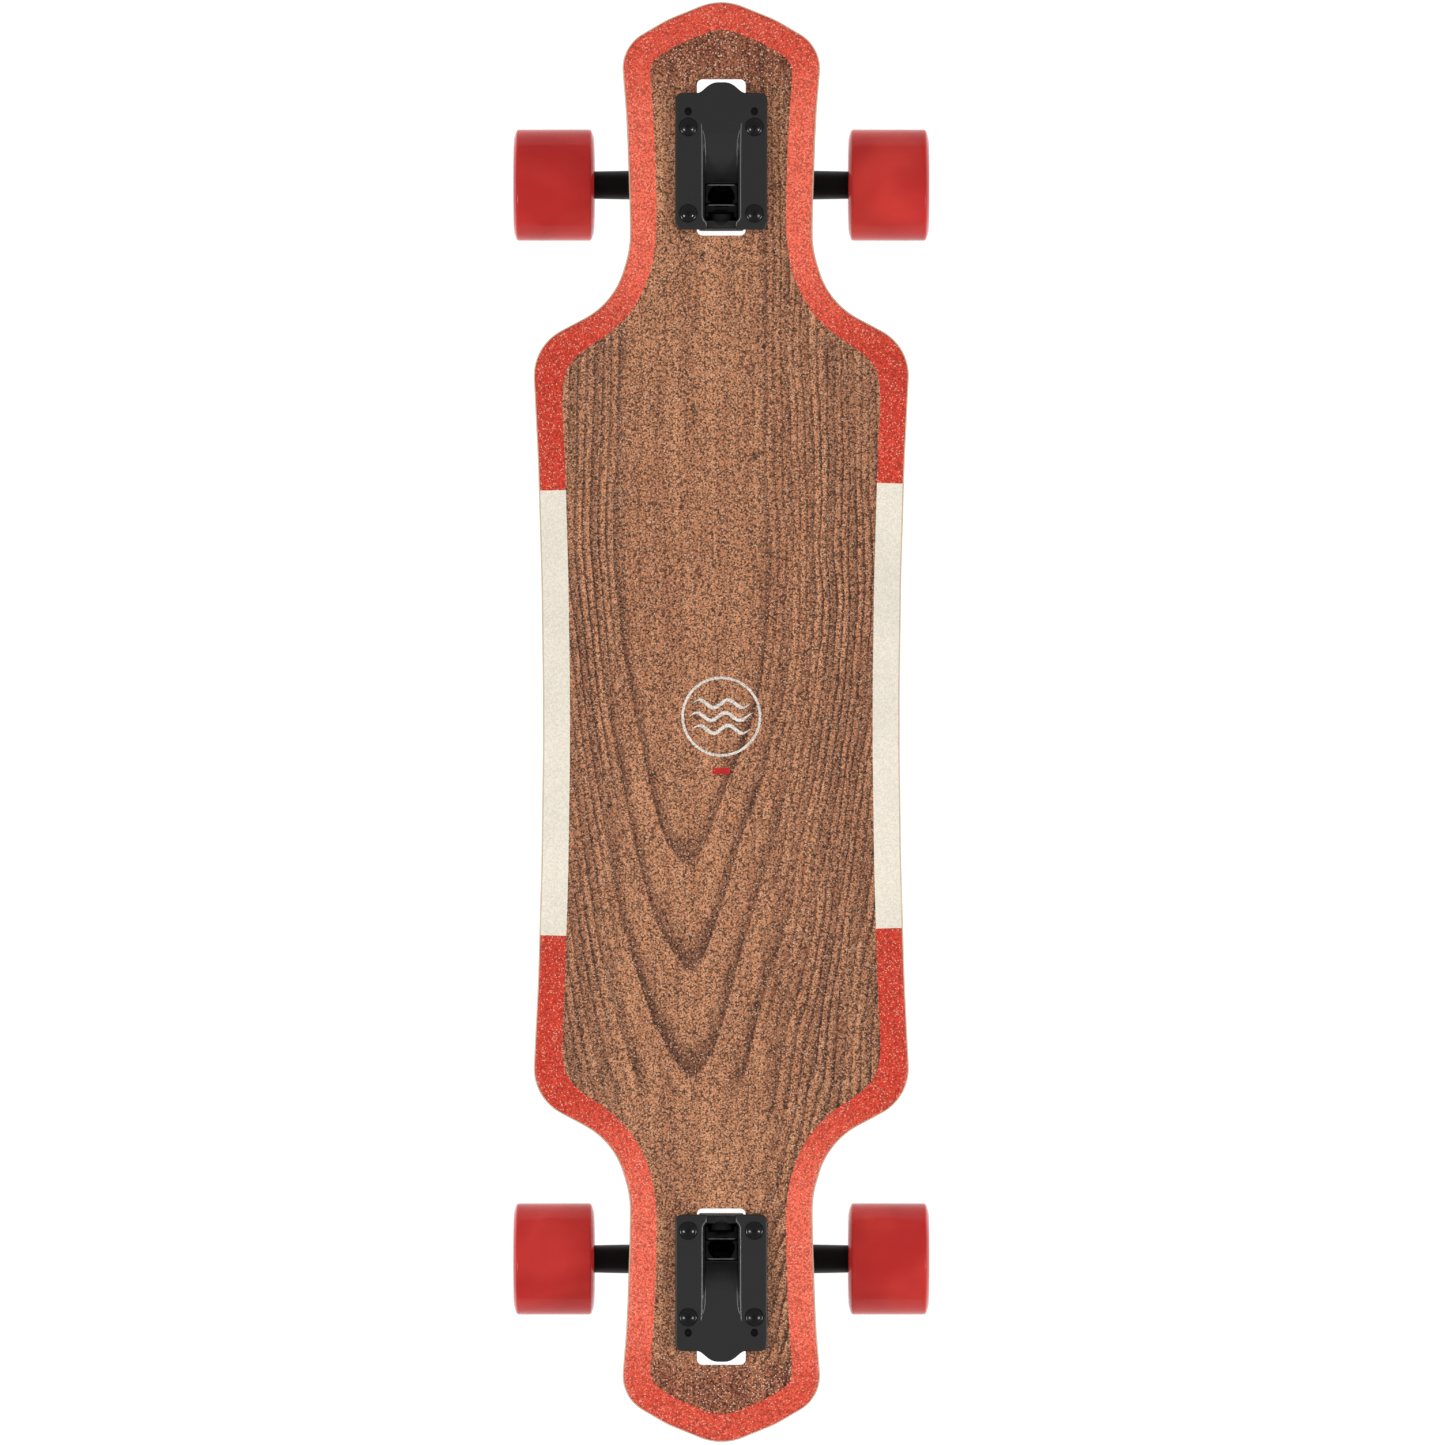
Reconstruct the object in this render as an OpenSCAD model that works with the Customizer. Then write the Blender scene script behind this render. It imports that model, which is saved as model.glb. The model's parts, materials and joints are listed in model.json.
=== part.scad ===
// Drop-through longboard skateboard. A laminated deck hangs on two reverse-kingpin trucks whose
// baseplates lie on top of the deck, with the kingpins and hangers reaching down through slots.
// +Z is up, +Y points to the nose and +X to the right. The wheels stand on z = 0.

/* [Deck] */
// Length of the deck from nose to tail
deck_length = 900; // [880:5:960]
// Width across the shoulders, where the deck is widest
shoulder_width = 235; // [232:1:244]
// Width at the middle of the waist
waist_width = 222.5; // [216:0.5:228]
// Width of the necks that carry the trucks
neck_width = 114.2; // [110:0.2:118]
// Thickness of all the plies together
deck_thickness = 11; // [10:0.5:13]
// How far the rails rise above the flat middle
concave_rise = 6; // [3:0.5:8]

/* [Trucks] */
// Distance between the two axles
wheelbase = 674; // [670:1:680]
// Width of the hanger between the wheels
hanger_width = 180; // [176:1:182]
// Angle of the steering axis above the deck
steering_angle = 50; // [48:0.5:52]
// Height of the baseplate flange
flange_height = 6.4; // [5.4:0.1:7.4]

/* [Wheels] */
// Diameter of the wheels
wheel_diameter = 70; // [66:1:70]
// Width of the urethane
wheel_width = 51; // [48:1:52]
// Distance between the middles of a pair of wheels
track = 210; // [208:0.5:212]

/* [Hardware] */
// Diameter of the axle
axle_diameter = 8; // [8:0.1:8]
// Diameter of the kingpin
kingpin_diameter = 9.5; // [9:0.1:9.8]
// Diameter of the mounting bolts
bolt_diameter = 4.8; // [4.6:0.1:5]

/* [Hidden] */
$fn = 64;

// How far a cut runs past the solid it goes through
through = 20;

// Plies, counted down from the riding face
grip_thickness = 0.4;
veneer_thickness = 0.7;
face_bottom = grip_thickness + veneer_thickness;
core_bottom = deck_thickness - veneer_thickness;

// Heights: the baseplates lie on the face veneer, where the grip coat is masked off
axle_z = wheel_diameter / 2;
mount_above_axle = 66;
deck_top = axle_z + mount_above_axle - flange_height + grip_thickness;
deck_bottom = deck_top - deck_thickness;
half_length = deck_length / 2;
axle_y = wheelbase / 2;
mask_gap = 0.2;

// The concave is an arc on each rail that starts flush with the flat middle
flat_half_width = 50;
rail_run = shoulder_width / 2 - flat_half_width;
concave_radius = (rail_run * rail_run + concave_rise * concave_rise) / (2 * concave_rise);
concave_steps = 8;

// A quarter of the outline, nose to waist: half width, distance from the middle, corner radius
outline_quarter = [
    [0, half_length + 2.8, 36],
    [34, half_length - 11, 60],
    [63, half_length - 28, 25],
    [58.9, half_length - 78, 400],
    [neck_width / 2, half_length - 132, 400],
    [neck_width / 2, half_length - 154, 60],
    [67.5, half_length - 188.2, 50],
    [shoulder_width / 2 + 0.7, half_length - 215, 32],
    [114.6, half_length - 287, 400],
    [112.4, half_length - 362, 600],
    [waist_width / 2, 0, 1500]
];
arc_step = 8;

// Slots for the trucks, measured from the axle toward the end of the deck
slot_width = 30.4;
slot_from = -33.1;
slot_to = 64.6;
slot_radius = 3.5;

// Baseplate flange, measured the same way
flange_width = 57.6;
flange_from = -29.5;
flange_to = 55.8;
flange_radius = 4.5;
tongue_width = 30;
tongue_reach = 6.7;
tongue_steps = 12;
body_width = 28.6;
body_overlap = 0.5;
channel_width = 24;
channel_floor_width = 19.7;
channel_step = 2;
seat_boss_height = 6;
head_gap = 0.3;

// Bolt pattern, and a second pair of holes for longer patterns
bolt_x = 20.64;
bolt_places = [-19.5, 34.5];
spare_hole_place = 44.2;
bolt_hole_diameter = 5.4;
spare_hole_diameter = 4.6;
bolt_length = 28;
bolt_head_diameter = 10.6;
bolt_head_height = 2.8;
recess_length = 4.4;
recess_width = 1.1;
recess_depth = 1.8;
nut_across_flats = 9.5;
nut_height = 6;

// Steering geometry, along and above the steering axis from the middle of the hanger's ring
axle_back = 34;
axle_drop = 8;
pivot_reach = 48;
ring_u = axle_back * cos(steering_angle) - axle_drop * sin(steering_angle);
ring_z = axle_back * sin(steering_angle) + axle_drop * cos(steering_angle);

// Hanger ring and bushings
ring_radius = 16.5;
ring_thickness = 10;
ring_bore = 13.5;
seat_depth = 3;
bushing_radius = 12;
bushing_bore = 10;
bushing_height = 17;
cup_thickness = 1;
bushing_end = ring_thickness / 2 - seat_depth + bushing_height;
seat_height = bushing_end + cup_thickness;
kingpin_head_height = 28;
kingpin_head_across = 14.3;
kingpin_head_thickness = 6;
kingpin_nut_height = 9;
kingpin_tip = 34;
pin_overlap = 0.3;
cup_washer_lip = 0.8;

// Pivot
pivot_radius = 6;
pivot_clearance = 0.05;
cup_bore_radius = pivot_radius + pivot_clearance;
cup_outer_radius = 8.2;
cup_end = 54.2;
housing_radius = 9.8;
housing_mouth = 46;
housing_end = 57;
body_foot = 12;

// Axle group, measured across the board from the middle
axle_half_length = 127;
washer_thickness = 1;
bearing_width = 7;
spacer_length = 10;
spacer_radius = 5.5;
hanger_end = hanger_width / 2;
inner_bearing = hanger_end + washer_thickness;
outer_bearing = inner_bearing + bearing_width + spacer_length;
outer_washer = outer_bearing + bearing_width;
axle_nut_height = 7.5;
axle_nut_across = 12.7;
hanger_bar_radius = 8.5;
hanger_middle_radius = 11;
hanger_middle_half = 26;
hanger_taper_radius = 9.4;
hanger_taper_end = 46;
bar_chamfer = 1;
wing_neck_half = 14;
wing_half = 33;
wing_edge = 5;
wing_start = 4;
wing_thickness = 8;
ring_gap = 0.3;

// Ball bearings
bearing_outer_radius = 11;
inner_race_radius = 6.1;
outer_race_radius = 8.9;
ball_circle_radius = 7.5;
ball_radius = 1.9;
groove_radius = 2.05;
ball_count = 7;
shield_thickness = 0.4;
shield_inner_radius = 6.5;
shield_outer_radius = 9.4;
shield_inset = 0.3;

// Wheel
wheel_inner = track / 2 - wheel_width / 2;
wheel_outer = track / 2 + wheel_width / 2;
core_radius = 21;
core_collar = 1;
core_inner = inner_bearing - core_collar;
core_outer = outer_washer + core_collar;
core_shoulder_radius = 9;
core_rim = 4;
collar_wall = 2;
lip_radius = 2;
lip_steps = 6;
lip_drop = 2.3;
shoulder_inset = 5;
shoulder_drop = 0.3;
flat_face_from = core_radius + 4.2;
face_slope = 5;
face_break = 1.5;

black = [0.16, 0.16, 0.17];
steel = [0.72, 0.73, 0.75];
zinc = [0.55, 0.56, 0.58];
maple = [0.84, 0.70, 0.50];
walnut = [0.45, 0.27, 0.17];
urethane_red = [0.80, 0.10, 0.08];
core_red = [0.62, 0.06, 0.05];

// ---- Outline ----

// Points of the arc that rounds the corner b, between its neighbours a and c
function corner_arc(a, b, c, radius) =
    let (
        back = (a - b) / norm(a - b),
        ahead = (c - b) / norm(c - b),
        half_angle = acos(back * ahead) / 2,
        middle = back + ahead,
        centre = b + middle / norm(middle) * radius / sin(half_angle),
        first = b + back * radius / tan(half_angle) - centre,
        last = b + ahead * radius / tan(half_angle) - centre,
        from = atan2(first.y, first.x),
        turn = (atan2(last.y, last.x) - from + 540) % 360 - 180,
        steps = max(1, ceil(abs(turn) / arc_step))
    )
    [for (i = [0:steps]) centre + radius * [cos(from + turn * i / steps), sin(from + turn * i / steps)]];

// Rounds every corner of a closed polygon given as [x, y, radius]
function rounded(corners) =
    let (count = len(corners))
    [
        for (i = [0:count - 1])
            let (
                a = corners[(i + count - 1) % count],
                b = corners[i],
                c = corners[(i + 1) % count]
            )
            each corner_arc([a.x, a.y], [b.x, b.y], [c.x, c.y], b[2])
    ];

function flipped_ends(points) =
    [for (i = [len(points) - 2:-1:0]) [points[i].x, -points[i].y, points[i][2]]];

function flipped_sides(points) =
    [for (i = [len(points) - 2:-1:1]) [-points[i].x, points[i].y, points[i][2]]];

right_side = concat(outline_quarter, flipped_ends(outline_quarter));
outline_corners = concat(right_side, flipped_sides(right_side));

module outline() {
    polygon(rounded(outline_corners));
}

// Height of the deck's curve above its flat middle
function concave(x) =
    let (run = max(0, abs(x) - flat_half_width))
    concave_radius - sqrt(concave_radius * concave_radius - run * run);

// Section of one ply across the deck, between two depths below the riding face
function ply_section(upper, lower) =
    let (
        widest = shoulder_width / 2 + 1,
        side = [for (i = [0:concave_steps])
            flat_half_width + (widest - flat_half_width) * i / concave_steps],
        across = concat([for (i = [concave_steps:-1:0]) -side[i]], side)
    )
    concat(
        [for (x = across) [x, deck_top - upper + concave(x)]],
        [for (i = [len(across) - 1:-1:0]) [across[i], deck_top - lower + concave(across[i])]]
    );

module rounded_rectangle(width, from, to, radius) {
    polygon(rounded([
        [width / 2, to, radius],
        [width / 2, from, radius],
        [-width / 2, from, radius],
        [-width / 2, to, radius]
    ]));
}

// ---- Frames ----

// Places a truck's pieces at one end: y runs outward from the axle and z up from it
module at_truck(end) {
    rotate([0, 0, end == "nose" ? 0 : 180])
        translate([0, axle_y, axle_z])
            children();
}

// Middle of the hanger's ring: y runs along the steering axis, z up the kingpin
module at_ring() {
    translate([0, ring_u, ring_z])
        rotate([steering_angle, 0, 0])
            children();
}

// Turns a shape about z so that it lies across the board
module across_board() {
    rotate([0, 90, 0])
        children();
}

// Extrudes a [y, z] profile across the board, centred on it
module across(width) {
    rotate([90, 0, 90])
        linear_extrude(width, center = true)
            children();
}

module at_bolts() {
    for (side = [-1, 1])
        for (place = bolt_places)
            translate([side * bolt_x, place, 0])
                children();
}

module tube(outer, inner, height) {
    rotate_extrude()
        translate([inner, 0])
            square([outer - inner, height]);
}

module hexagon(across_flats, height) {
    cylinder(r = across_flats / 2 / cos(30), h = height, $fn = 6);
}

// ---- Deck ----

module ply(upper, lower) {
    difference() {
        intersection() {
            linear_extrude(deck_top + through)
                outline();
            rotate([90, 0, 0])
                linear_extrude(deck_length + through, center = true)
                    polygon(ply_section(upper, lower));
        }
        for (end = ["nose", "tail"])
            at_truck(end)
                translate([0, 0, -axle_z]) {
                    linear_extrude(deck_top + through)
                        rounded_rectangle(slot_width, slot_from, slot_to, slot_radius);
                    at_bolts()
                        cylinder(d = bolt_hole_diameter, h = deck_top + through);
                }
    }
}

module grip_coat() {
    color([0.95, 0.95, 0.95, 0.4])
        difference() {
            ply(0, grip_thickness);
            for (end = ["nose", "tail"])
                at_truck(end)
                    linear_extrude(deck_top + through - axle_z)
                        rounded_rectangle(
                            flange_width + 2 * mask_gap,
                            flange_from - mask_gap,
                            flange_to + mask_gap,
                            flange_radius + mask_gap
                        );
        }
}

module face_veneer() {
    color(walnut)
        ply(grip_thickness, face_bottom);
}

module maple_core() {
    color(maple)
        ply(face_bottom, core_bottom);
}

module base_veneer() {
    color(walnut)
        ply(core_bottom, deck_thickness);
}

// ---- Baseplate group ----

module flange_plan() {
    rounded_rectangle(flange_width, flange_from, flange_to, flange_radius);
    polygon([
        for (i = [0:tongue_steps])
            let (t = 2 * i / tongue_steps - 1)
            [t * tongue_width / 2, flange_to + tongue_reach * (1 + cos(180 * t)) / 2],
        [tongue_width / 2, flange_to - flange_radius],
        [-tongue_width / 2, flange_to - flange_radius]
    ]);
}

// A point given along and above the steering axis, as [y, z] from the axle
function along_ring(y, z) =
    [
        ring_u + y * cos(steering_angle) - z * sin(steering_angle),
        ring_z + y * sin(steering_angle) + z * cos(steering_angle)
    ];

// The cast body seen from the side: kingpin seat outboard, pivot housing low and inboard
under_flange = mount_above_axle - flange_height + body_overlap;
seat_half = body_width / 2;
seat_end = along_ring(seat_half, seat_height);
body_profile = [
    [flange_from, under_flange],
    [flange_from, body_foot],
    along_ring(-housing_end, housing_radius),
    along_ring(-housing_mouth, housing_radius),
    along_ring(-seat_half, seat_height),
    seat_end,
    [seat_end.x + (under_flange - seat_end.y) / tan(steering_angle), under_flange]
];

// Hollow on the upper side, given as [distance from the axle, depth]: it deepens toward the
// middle of the board in three steps
channel_floor = [
    [30, -channel_step],
    [28, 0.4],
    [20, 1.6],
    [12, 4],
    [5, 7.5],
    [-0.3, 11],
    [-0.3, 14],
    [-13, 16],
    [-13, 19],
    [-22, 19],
    [-22, -channel_step]
];
channel_profile = [for (p = channel_floor) [p.x, mount_above_axle - p.y]];

module baseplate(end) {
    color(black)
        at_truck(end)
            difference() {
                union() {
                    translate([0, 0, mount_above_axle - flange_height])
                        linear_extrude(flange_height)
                            flange_plan();
                    across(body_width)
                        polygon(body_profile);
                    at_ring() {
                        translate([0, 0, seat_height])
                            cylinder(r = seat_half, h = seat_boss_height);
                        translate([0, -housing_mouth, 0])
                            rotate([90, 0, 0])
                                cylinder(r = housing_radius, h = housing_end - housing_mouth);
                    }
                }
                across(channel_floor_width)
                    polygon(channel_profile);
                translate([0, 0, channel_step])
                    across(channel_width)
                        polygon(channel_profile);
                at_bolts()
                    cylinder(d = bolt_hole_diameter, h = mount_above_axle + through);
                for (side = [-1, 1])
                    translate([side * bolt_x, spare_hole_place, 0])
                        cylinder(d = spare_hole_diameter, h = mount_above_axle + through);
                at_ring() {
                    cylinder(d = kingpin_diameter, h = kingpin_head_height + through);
                    translate([0, 0, kingpin_head_height])
                        hexagon(kingpin_head_across + 2 * head_gap, through);
                    translate([0, -housing_mouth + through, 0])
                        rotate([90, 0, 0])
                            cylinder(r = cup_outer_radius, h = cup_end - housing_mouth + through);
                }
            }
}

module pivot_cup(end) {
    color([0.12, 0.12, 0.12])
        at_truck(end)
            at_ring()
                translate([0, -pivot_reach, 0])
                    rotate([90, 0, 0])
                        rotate_extrude()
                            difference() {
                                translate([0, housing_mouth - pivot_reach])
                                    square([cup_outer_radius, cup_end - housing_mouth]);
                                intersection() {
                                    circle(r = cup_bore_radius);
                                    square(cup_bore_radius);
                                }
                                translate([0, -through])
                                    square([cup_bore_radius, through]);
                            }
}

module kingpin(end) {
    color(steel)
        at_truck(end)
            at_ring() {
                translate([0, 0, -kingpin_tip])
                    cylinder(d = kingpin_diameter, h = kingpin_tip + kingpin_head_height + pin_overlap);
                translate([0, 0, kingpin_head_height])
                    hexagon(kingpin_head_across, kingpin_head_thickness);
            }
}

module kingpin_nut(end) {
    color(zinc)
        at_truck(end)
            at_ring()
                translate([0, 0, -seat_height - kingpin_nut_height])
                    difference() {
                        hexagon(kingpin_head_across, kingpin_nut_height);
                        cylinder(d = kingpin_diameter, h = 3 * kingpin_nut_height, center = true);
                    }
}

module bushing(end, direction) {
    color(urethane_red)
        at_truck(end)
            at_ring()
                rotate([direction > 0 ? 0 : 180, 0, 0])
                    translate([0, 0, ring_thickness / 2 - seat_depth])
                        tube(bushing_radius, bushing_bore / 2, bushing_height);
}

module cup_washers(end) {
    color(zinc)
        at_truck(end)
            at_ring()
                for (tilt = [0, 180])
                    rotate([tilt, 0, 0])
                        translate([0, 0, bushing_end])
                            tube(bushing_radius + cup_washer_lip, kingpin_diameter / 2, cup_thickness);
}

// Domed head with a cross recess
module mounting_bolts(end) {
    dome_radius = (bolt_head_diameter * bolt_head_diameter / 4 + bolt_head_height * bolt_head_height)
        / (2 * bolt_head_height);
    color(black)
        at_truck(end)
            at_bolts()
                translate([0, 0, mount_above_axle]) {
                    difference() {
                        intersection() {
                            translate([0, 0, bolt_head_height - dome_radius])
                                sphere(r = dome_radius);
                            cylinder(d = bolt_head_diameter, h = bolt_head_height);
                        }
                        translate([0, 0, bolt_head_height])
                            for (turn = [0, 90])
                                rotate([0, 0, turn])
                                    cube([recess_length, recess_width, 2 * recess_depth], center = true);
                    }
                    translate([0, 0, -bolt_length])
                        cylinder(d = bolt_diameter, h = bolt_length + pin_overlap);
                }
}

module mounting_nuts(end) {
    color(zinc)
        at_truck(end)
            translate([0, 0, deck_bottom - axle_z - nut_height])
                at_bolts()
                    difference() {
                        hexagon(nut_across_flats, nut_height);
                        cylinder(d = bolt_diameter, h = 3 * nut_height, center = true);
                    }
}

// ---- Hanger group ----

// Half of the bar that carries the axle, thick in the middle
bar_profile = [
    [axle_diameter / 2, 0],
    [hanger_middle_radius, 0],
    [hanger_middle_radius, hanger_middle_half],
    [hanger_taper_radius, hanger_taper_end],
    [hanger_bar_radius, hanger_end - bar_chamfer],
    [hanger_bar_radius - bar_chamfer, hanger_end],
    [axle_diameter / 2, hanger_end]
];

// The flat wings that join the ring to the bar, seen along the kingpin
wing_profile = [
    [-wing_neck_half, wing_start],
    [wing_neck_half, wing_start],
    [wing_half, wing_edge - axle_back],
    [wing_half, -axle_back],
    [-wing_half, -axle_back],
    [-wing_half, wing_edge - axle_back]
];

module hanger(end) {
    color(black)
        at_truck(end)
            difference() {
                union() {
                    for (side = [0, 180])
                        rotate([0, 0, side])
                            across_board()
                                rotate_extrude()
                                    polygon(bar_profile);
                    at_ring() {
                        translate([0, 0, -ring_thickness / 2])
                            cylinder(r = ring_radius, h = ring_thickness);
                        translate([0, 0, -ring_thickness / 2])
                            linear_extrude(wing_thickness)
                                polygon(wing_profile);
                        translate([0, -axle_back, 0])
                            rotate([90, 0, 0])
                                cylinder(r = pivot_radius, h = pivot_reach - axle_back);
                        translate([0, -pivot_reach, 0])
                            sphere(r = pivot_radius);
                    }
                }
                across_board()
                    cylinder(d = axle_diameter, h = hanger_width + through, center = true);
                at_ring() {
                    cylinder(d = ring_bore, h = ring_thickness + through, center = true);
                    for (tilt = [0, 180])
                        rotate([tilt, 0, 0])
                            translate([0, 0, ring_thickness / 2 - seat_depth])
                                cylinder(r = bushing_radius + ring_gap, h = through);
                }
            }
}

module axle(end) {
    color(steel)
        at_truck(end)
            across_board()
                cylinder(d = axle_diameter, h = 2 * axle_half_length, center = true);
}

// Puts a ring-shaped piece on both ends of the axle, at a distance from the middle
module on_axle(from) {
    for (side = [0, 180])
        rotate([0, 0, side])
            across_board()
                translate([0, 0, from])
                    children();
}

module axle_nuts(end) {
    color(zinc)
        at_truck(end)
            on_axle(outer_washer + washer_thickness)
                difference() {
                    hexagon(axle_nut_across, axle_nut_height);
                    cylinder(d = axle_diameter, h = 3 * axle_nut_height, center = true);
                }
}

module speed_washers(end) {
    color(steel)
        at_truck(end)
            for (from = [hanger_end, outer_washer])
                on_axle(from)
                    tube(inner_race_radius, axle_diameter / 2, washer_thickness);
}

module bearing_spacers(end) {
    color(steel)
        at_truck(end)
            on_axle(inner_bearing + bearing_width)
                tube(spacer_radius, axle_diameter / 2, spacer_length);
}

// A race is a plain ring with the ball groove turned out of it
module race(outer, inner) {
    rotate_extrude()
        difference() {
            translate([inner, 0])
                square([outer - inner, bearing_width]);
            translate([ball_circle_radius, bearing_width / 2])
                circle(r = groove_radius);
        }
}

module inner_races(end) {
    color(steel)
        at_truck(end)
            for (from = [inner_bearing, outer_bearing])
                on_axle(from)
                    race(inner_race_radius, axle_diameter / 2);
}

// ---- Wheel group ----

// Places a wheel's pieces: z runs outward along the axle from the middle of the board
module at_wheel(end, side) {
    at_truck(end)
        rotate([0, 0, (side == "right") == (end == "nose") ? 0 : 180])
            across_board()
                children();
}

// A quarter circle at the edge of the tread
function lip(centre_z, from) =
    [for (i = [0:lip_steps])
        let (angle = from + 90 * i / lip_steps)
        [
            wheel_diameter / 2 - lip_radius + lip_radius * cos(angle),
            centre_z + lip_radius * sin(angle)
        ]];

// The section of the urethane: domed shoulders run to tight lips, and the faces slope in to the core
tyre_profile = concat(
    [
        [core_radius, wheel_inner + face_slope],
        [core_radius + face_break, wheel_inner + face_slope - face_break],
        [flat_face_from, wheel_inner],
        [wheel_diameter / 2 - shoulder_inset, wheel_inner + shoulder_drop]
    ],
    lip(wheel_inner + lip_drop + lip_radius, -90),
    lip(wheel_outer - lip_drop - lip_radius, 0),
    [
        [wheel_diameter / 2 - shoulder_inset, wheel_outer - shoulder_drop],
        [flat_face_from, wheel_outer],
        [core_radius + face_break, wheel_outer - face_slope + face_break],
        [core_radius, wheel_outer - face_slope]
    ]
);

module tyre(end, side) {
    color(urethane_red)
        at_wheel(end, side)
            rotate_extrude($fn = 96)
                polygon(tyre_profile);
}

module core(end, side) {
    color(core_red)
        at_wheel(end, side)
            rotate_extrude()
                polygon([
                    [core_radius, wheel_inner + face_slope],
                    [core_radius, wheel_outer - face_slope],
                    [core_radius - core_rim, wheel_outer - face_slope],
                    [bearing_outer_radius + collar_wall, core_outer],
                    [bearing_outer_radius, core_outer],
                    [bearing_outer_radius, outer_bearing],
                    [core_shoulder_radius, outer_bearing],
                    [core_shoulder_radius, inner_bearing + bearing_width],
                    [bearing_outer_radius, inner_bearing + bearing_width],
                    [bearing_outer_radius, core_inner],
                    [bearing_outer_radius + collar_wall, core_inner],
                    [core_radius - core_rim, wheel_inner + face_slope]
                ]);
}

module at_bearings(end, side) {
    at_wheel(end, side)
        for (from = [inner_bearing, outer_bearing])
            translate([0, 0, from])
                children();
}

module outer_races(end, side) {
    color(steel)
        at_bearings(end, side)
            race(bearing_outer_radius, outer_race_radius);
}

module balls(end, side) {
    color(steel)
        at_bearings(end, side)
            for (i = [0:ball_count - 1])
                rotate([0, 0, i * 360 / ball_count])
                    translate([ball_circle_radius, 0, bearing_width / 2])
                        sphere(r = ball_radius, $fn = 24);
}

module shields(end, side) {
    color(black)
        at_bearings(end, side)
            for (from = [shield_inset, bearing_width - shield_inset - shield_thickness])
                translate([0, 0, from])
                    tube(outer_race_radius, shield_inner_radius, shield_thickness);
}

grip_coat();
face_veneer();
maple_core();
base_veneer();
for (end = ["nose", "tail"]) {
    baseplate(end);
    pivot_cup(end);
    kingpin(end);
    kingpin_nut(end);
    bushing(end, 1);
    bushing(end, -1);
    cup_washers(end);
    mounting_bolts(end);
    mounting_nuts(end);
    hanger(end);
    axle(end);
    axle_nuts(end);
    speed_washers(end);
    bearing_spacers(end);
    inner_races(end);
    for (side = ["right", "left"]) {
        tyre(end, side);
        core(end, side);
        outer_races(end, side);
        balls(end, side);
        shields(end, side);
    }
}
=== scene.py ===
import json
import math
from functools import partialmethod

import bmesh
import bpy
from mathutils import Matrix, Vector


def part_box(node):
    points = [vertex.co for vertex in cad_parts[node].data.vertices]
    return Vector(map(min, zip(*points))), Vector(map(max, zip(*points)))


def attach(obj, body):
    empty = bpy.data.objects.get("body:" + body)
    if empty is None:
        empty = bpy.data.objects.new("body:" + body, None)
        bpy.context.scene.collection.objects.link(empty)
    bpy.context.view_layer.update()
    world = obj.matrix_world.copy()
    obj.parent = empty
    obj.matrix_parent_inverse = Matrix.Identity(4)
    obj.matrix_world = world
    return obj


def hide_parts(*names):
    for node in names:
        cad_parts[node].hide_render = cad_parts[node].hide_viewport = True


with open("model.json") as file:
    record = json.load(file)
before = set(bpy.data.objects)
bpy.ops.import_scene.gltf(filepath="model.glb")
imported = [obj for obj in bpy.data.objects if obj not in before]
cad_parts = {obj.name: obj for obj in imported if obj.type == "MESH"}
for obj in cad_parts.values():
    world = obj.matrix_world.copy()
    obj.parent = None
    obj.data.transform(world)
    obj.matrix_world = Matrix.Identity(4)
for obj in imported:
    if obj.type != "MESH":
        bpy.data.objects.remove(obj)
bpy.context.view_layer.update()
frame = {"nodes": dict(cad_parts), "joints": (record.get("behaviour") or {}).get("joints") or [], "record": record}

mm = 0.001
scene = bpy.context.scene
record = frame["record"]
ends = ("nose", "tail")
sides = ("right", "left")

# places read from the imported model
deckTop = record["mounts"][0]["pos_m"][2]
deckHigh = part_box("grip_coat")[1]
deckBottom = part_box("base_veneer")[0].z
halfLength = deckHigh.y
shoulderHalf = deckHigh.x
axleLow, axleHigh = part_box("nose_axle")
axleMiddle = (axleLow + axleHigh) / 2
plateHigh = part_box("nose_baseplate")[1]
steering = {joint["child"]: joint for joint in frame["joints"] if joint["name"].endswith("steering")}
noseSteering = steering["nose_truck_hanger"]
ringMiddle = Vector(noseSteering["pos_m"])
steerAngle = math.atan2(noseSteering["axis"][2], noseSteering["axis"][1])
print("frame read: deck top", round(deckTop, 4), "axle", tuple(round(v, 4) for v in axleMiddle))


# a wire is one output of a node; sums and products of wires add Math nodes

class Wire:
    def __init__(self, shader, socket):
        self.shader = shader
        self.socket = socket

    def maths(self, operation, *others):
        values = {place: value for place, value in enumerate((self,) + others)}
        return self.shader.add("ShaderNodeMath", {"operation": operation}, values)[0]

    def __rsub__(self, other):
        return (self * -1).maths("ADD", other)


operations = {
    "__add__": "ADD", "__radd__": "ADD", "__sub__": "SUBTRACT", "__mul__": "MULTIPLY",
    "__truediv__": "DIVIDE", "__pow__": "POWER", "__abs__": "ABSOLUTE", "__gt__": "GREATER_THAN",
    "__lt__": "LESS_THAN", "most": "MAXIMUM", "part": "FRACT",
}
for method, operation in operations.items():
    setattr(Wire, method, partialmethod(Wire.maths, operation))


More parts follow.
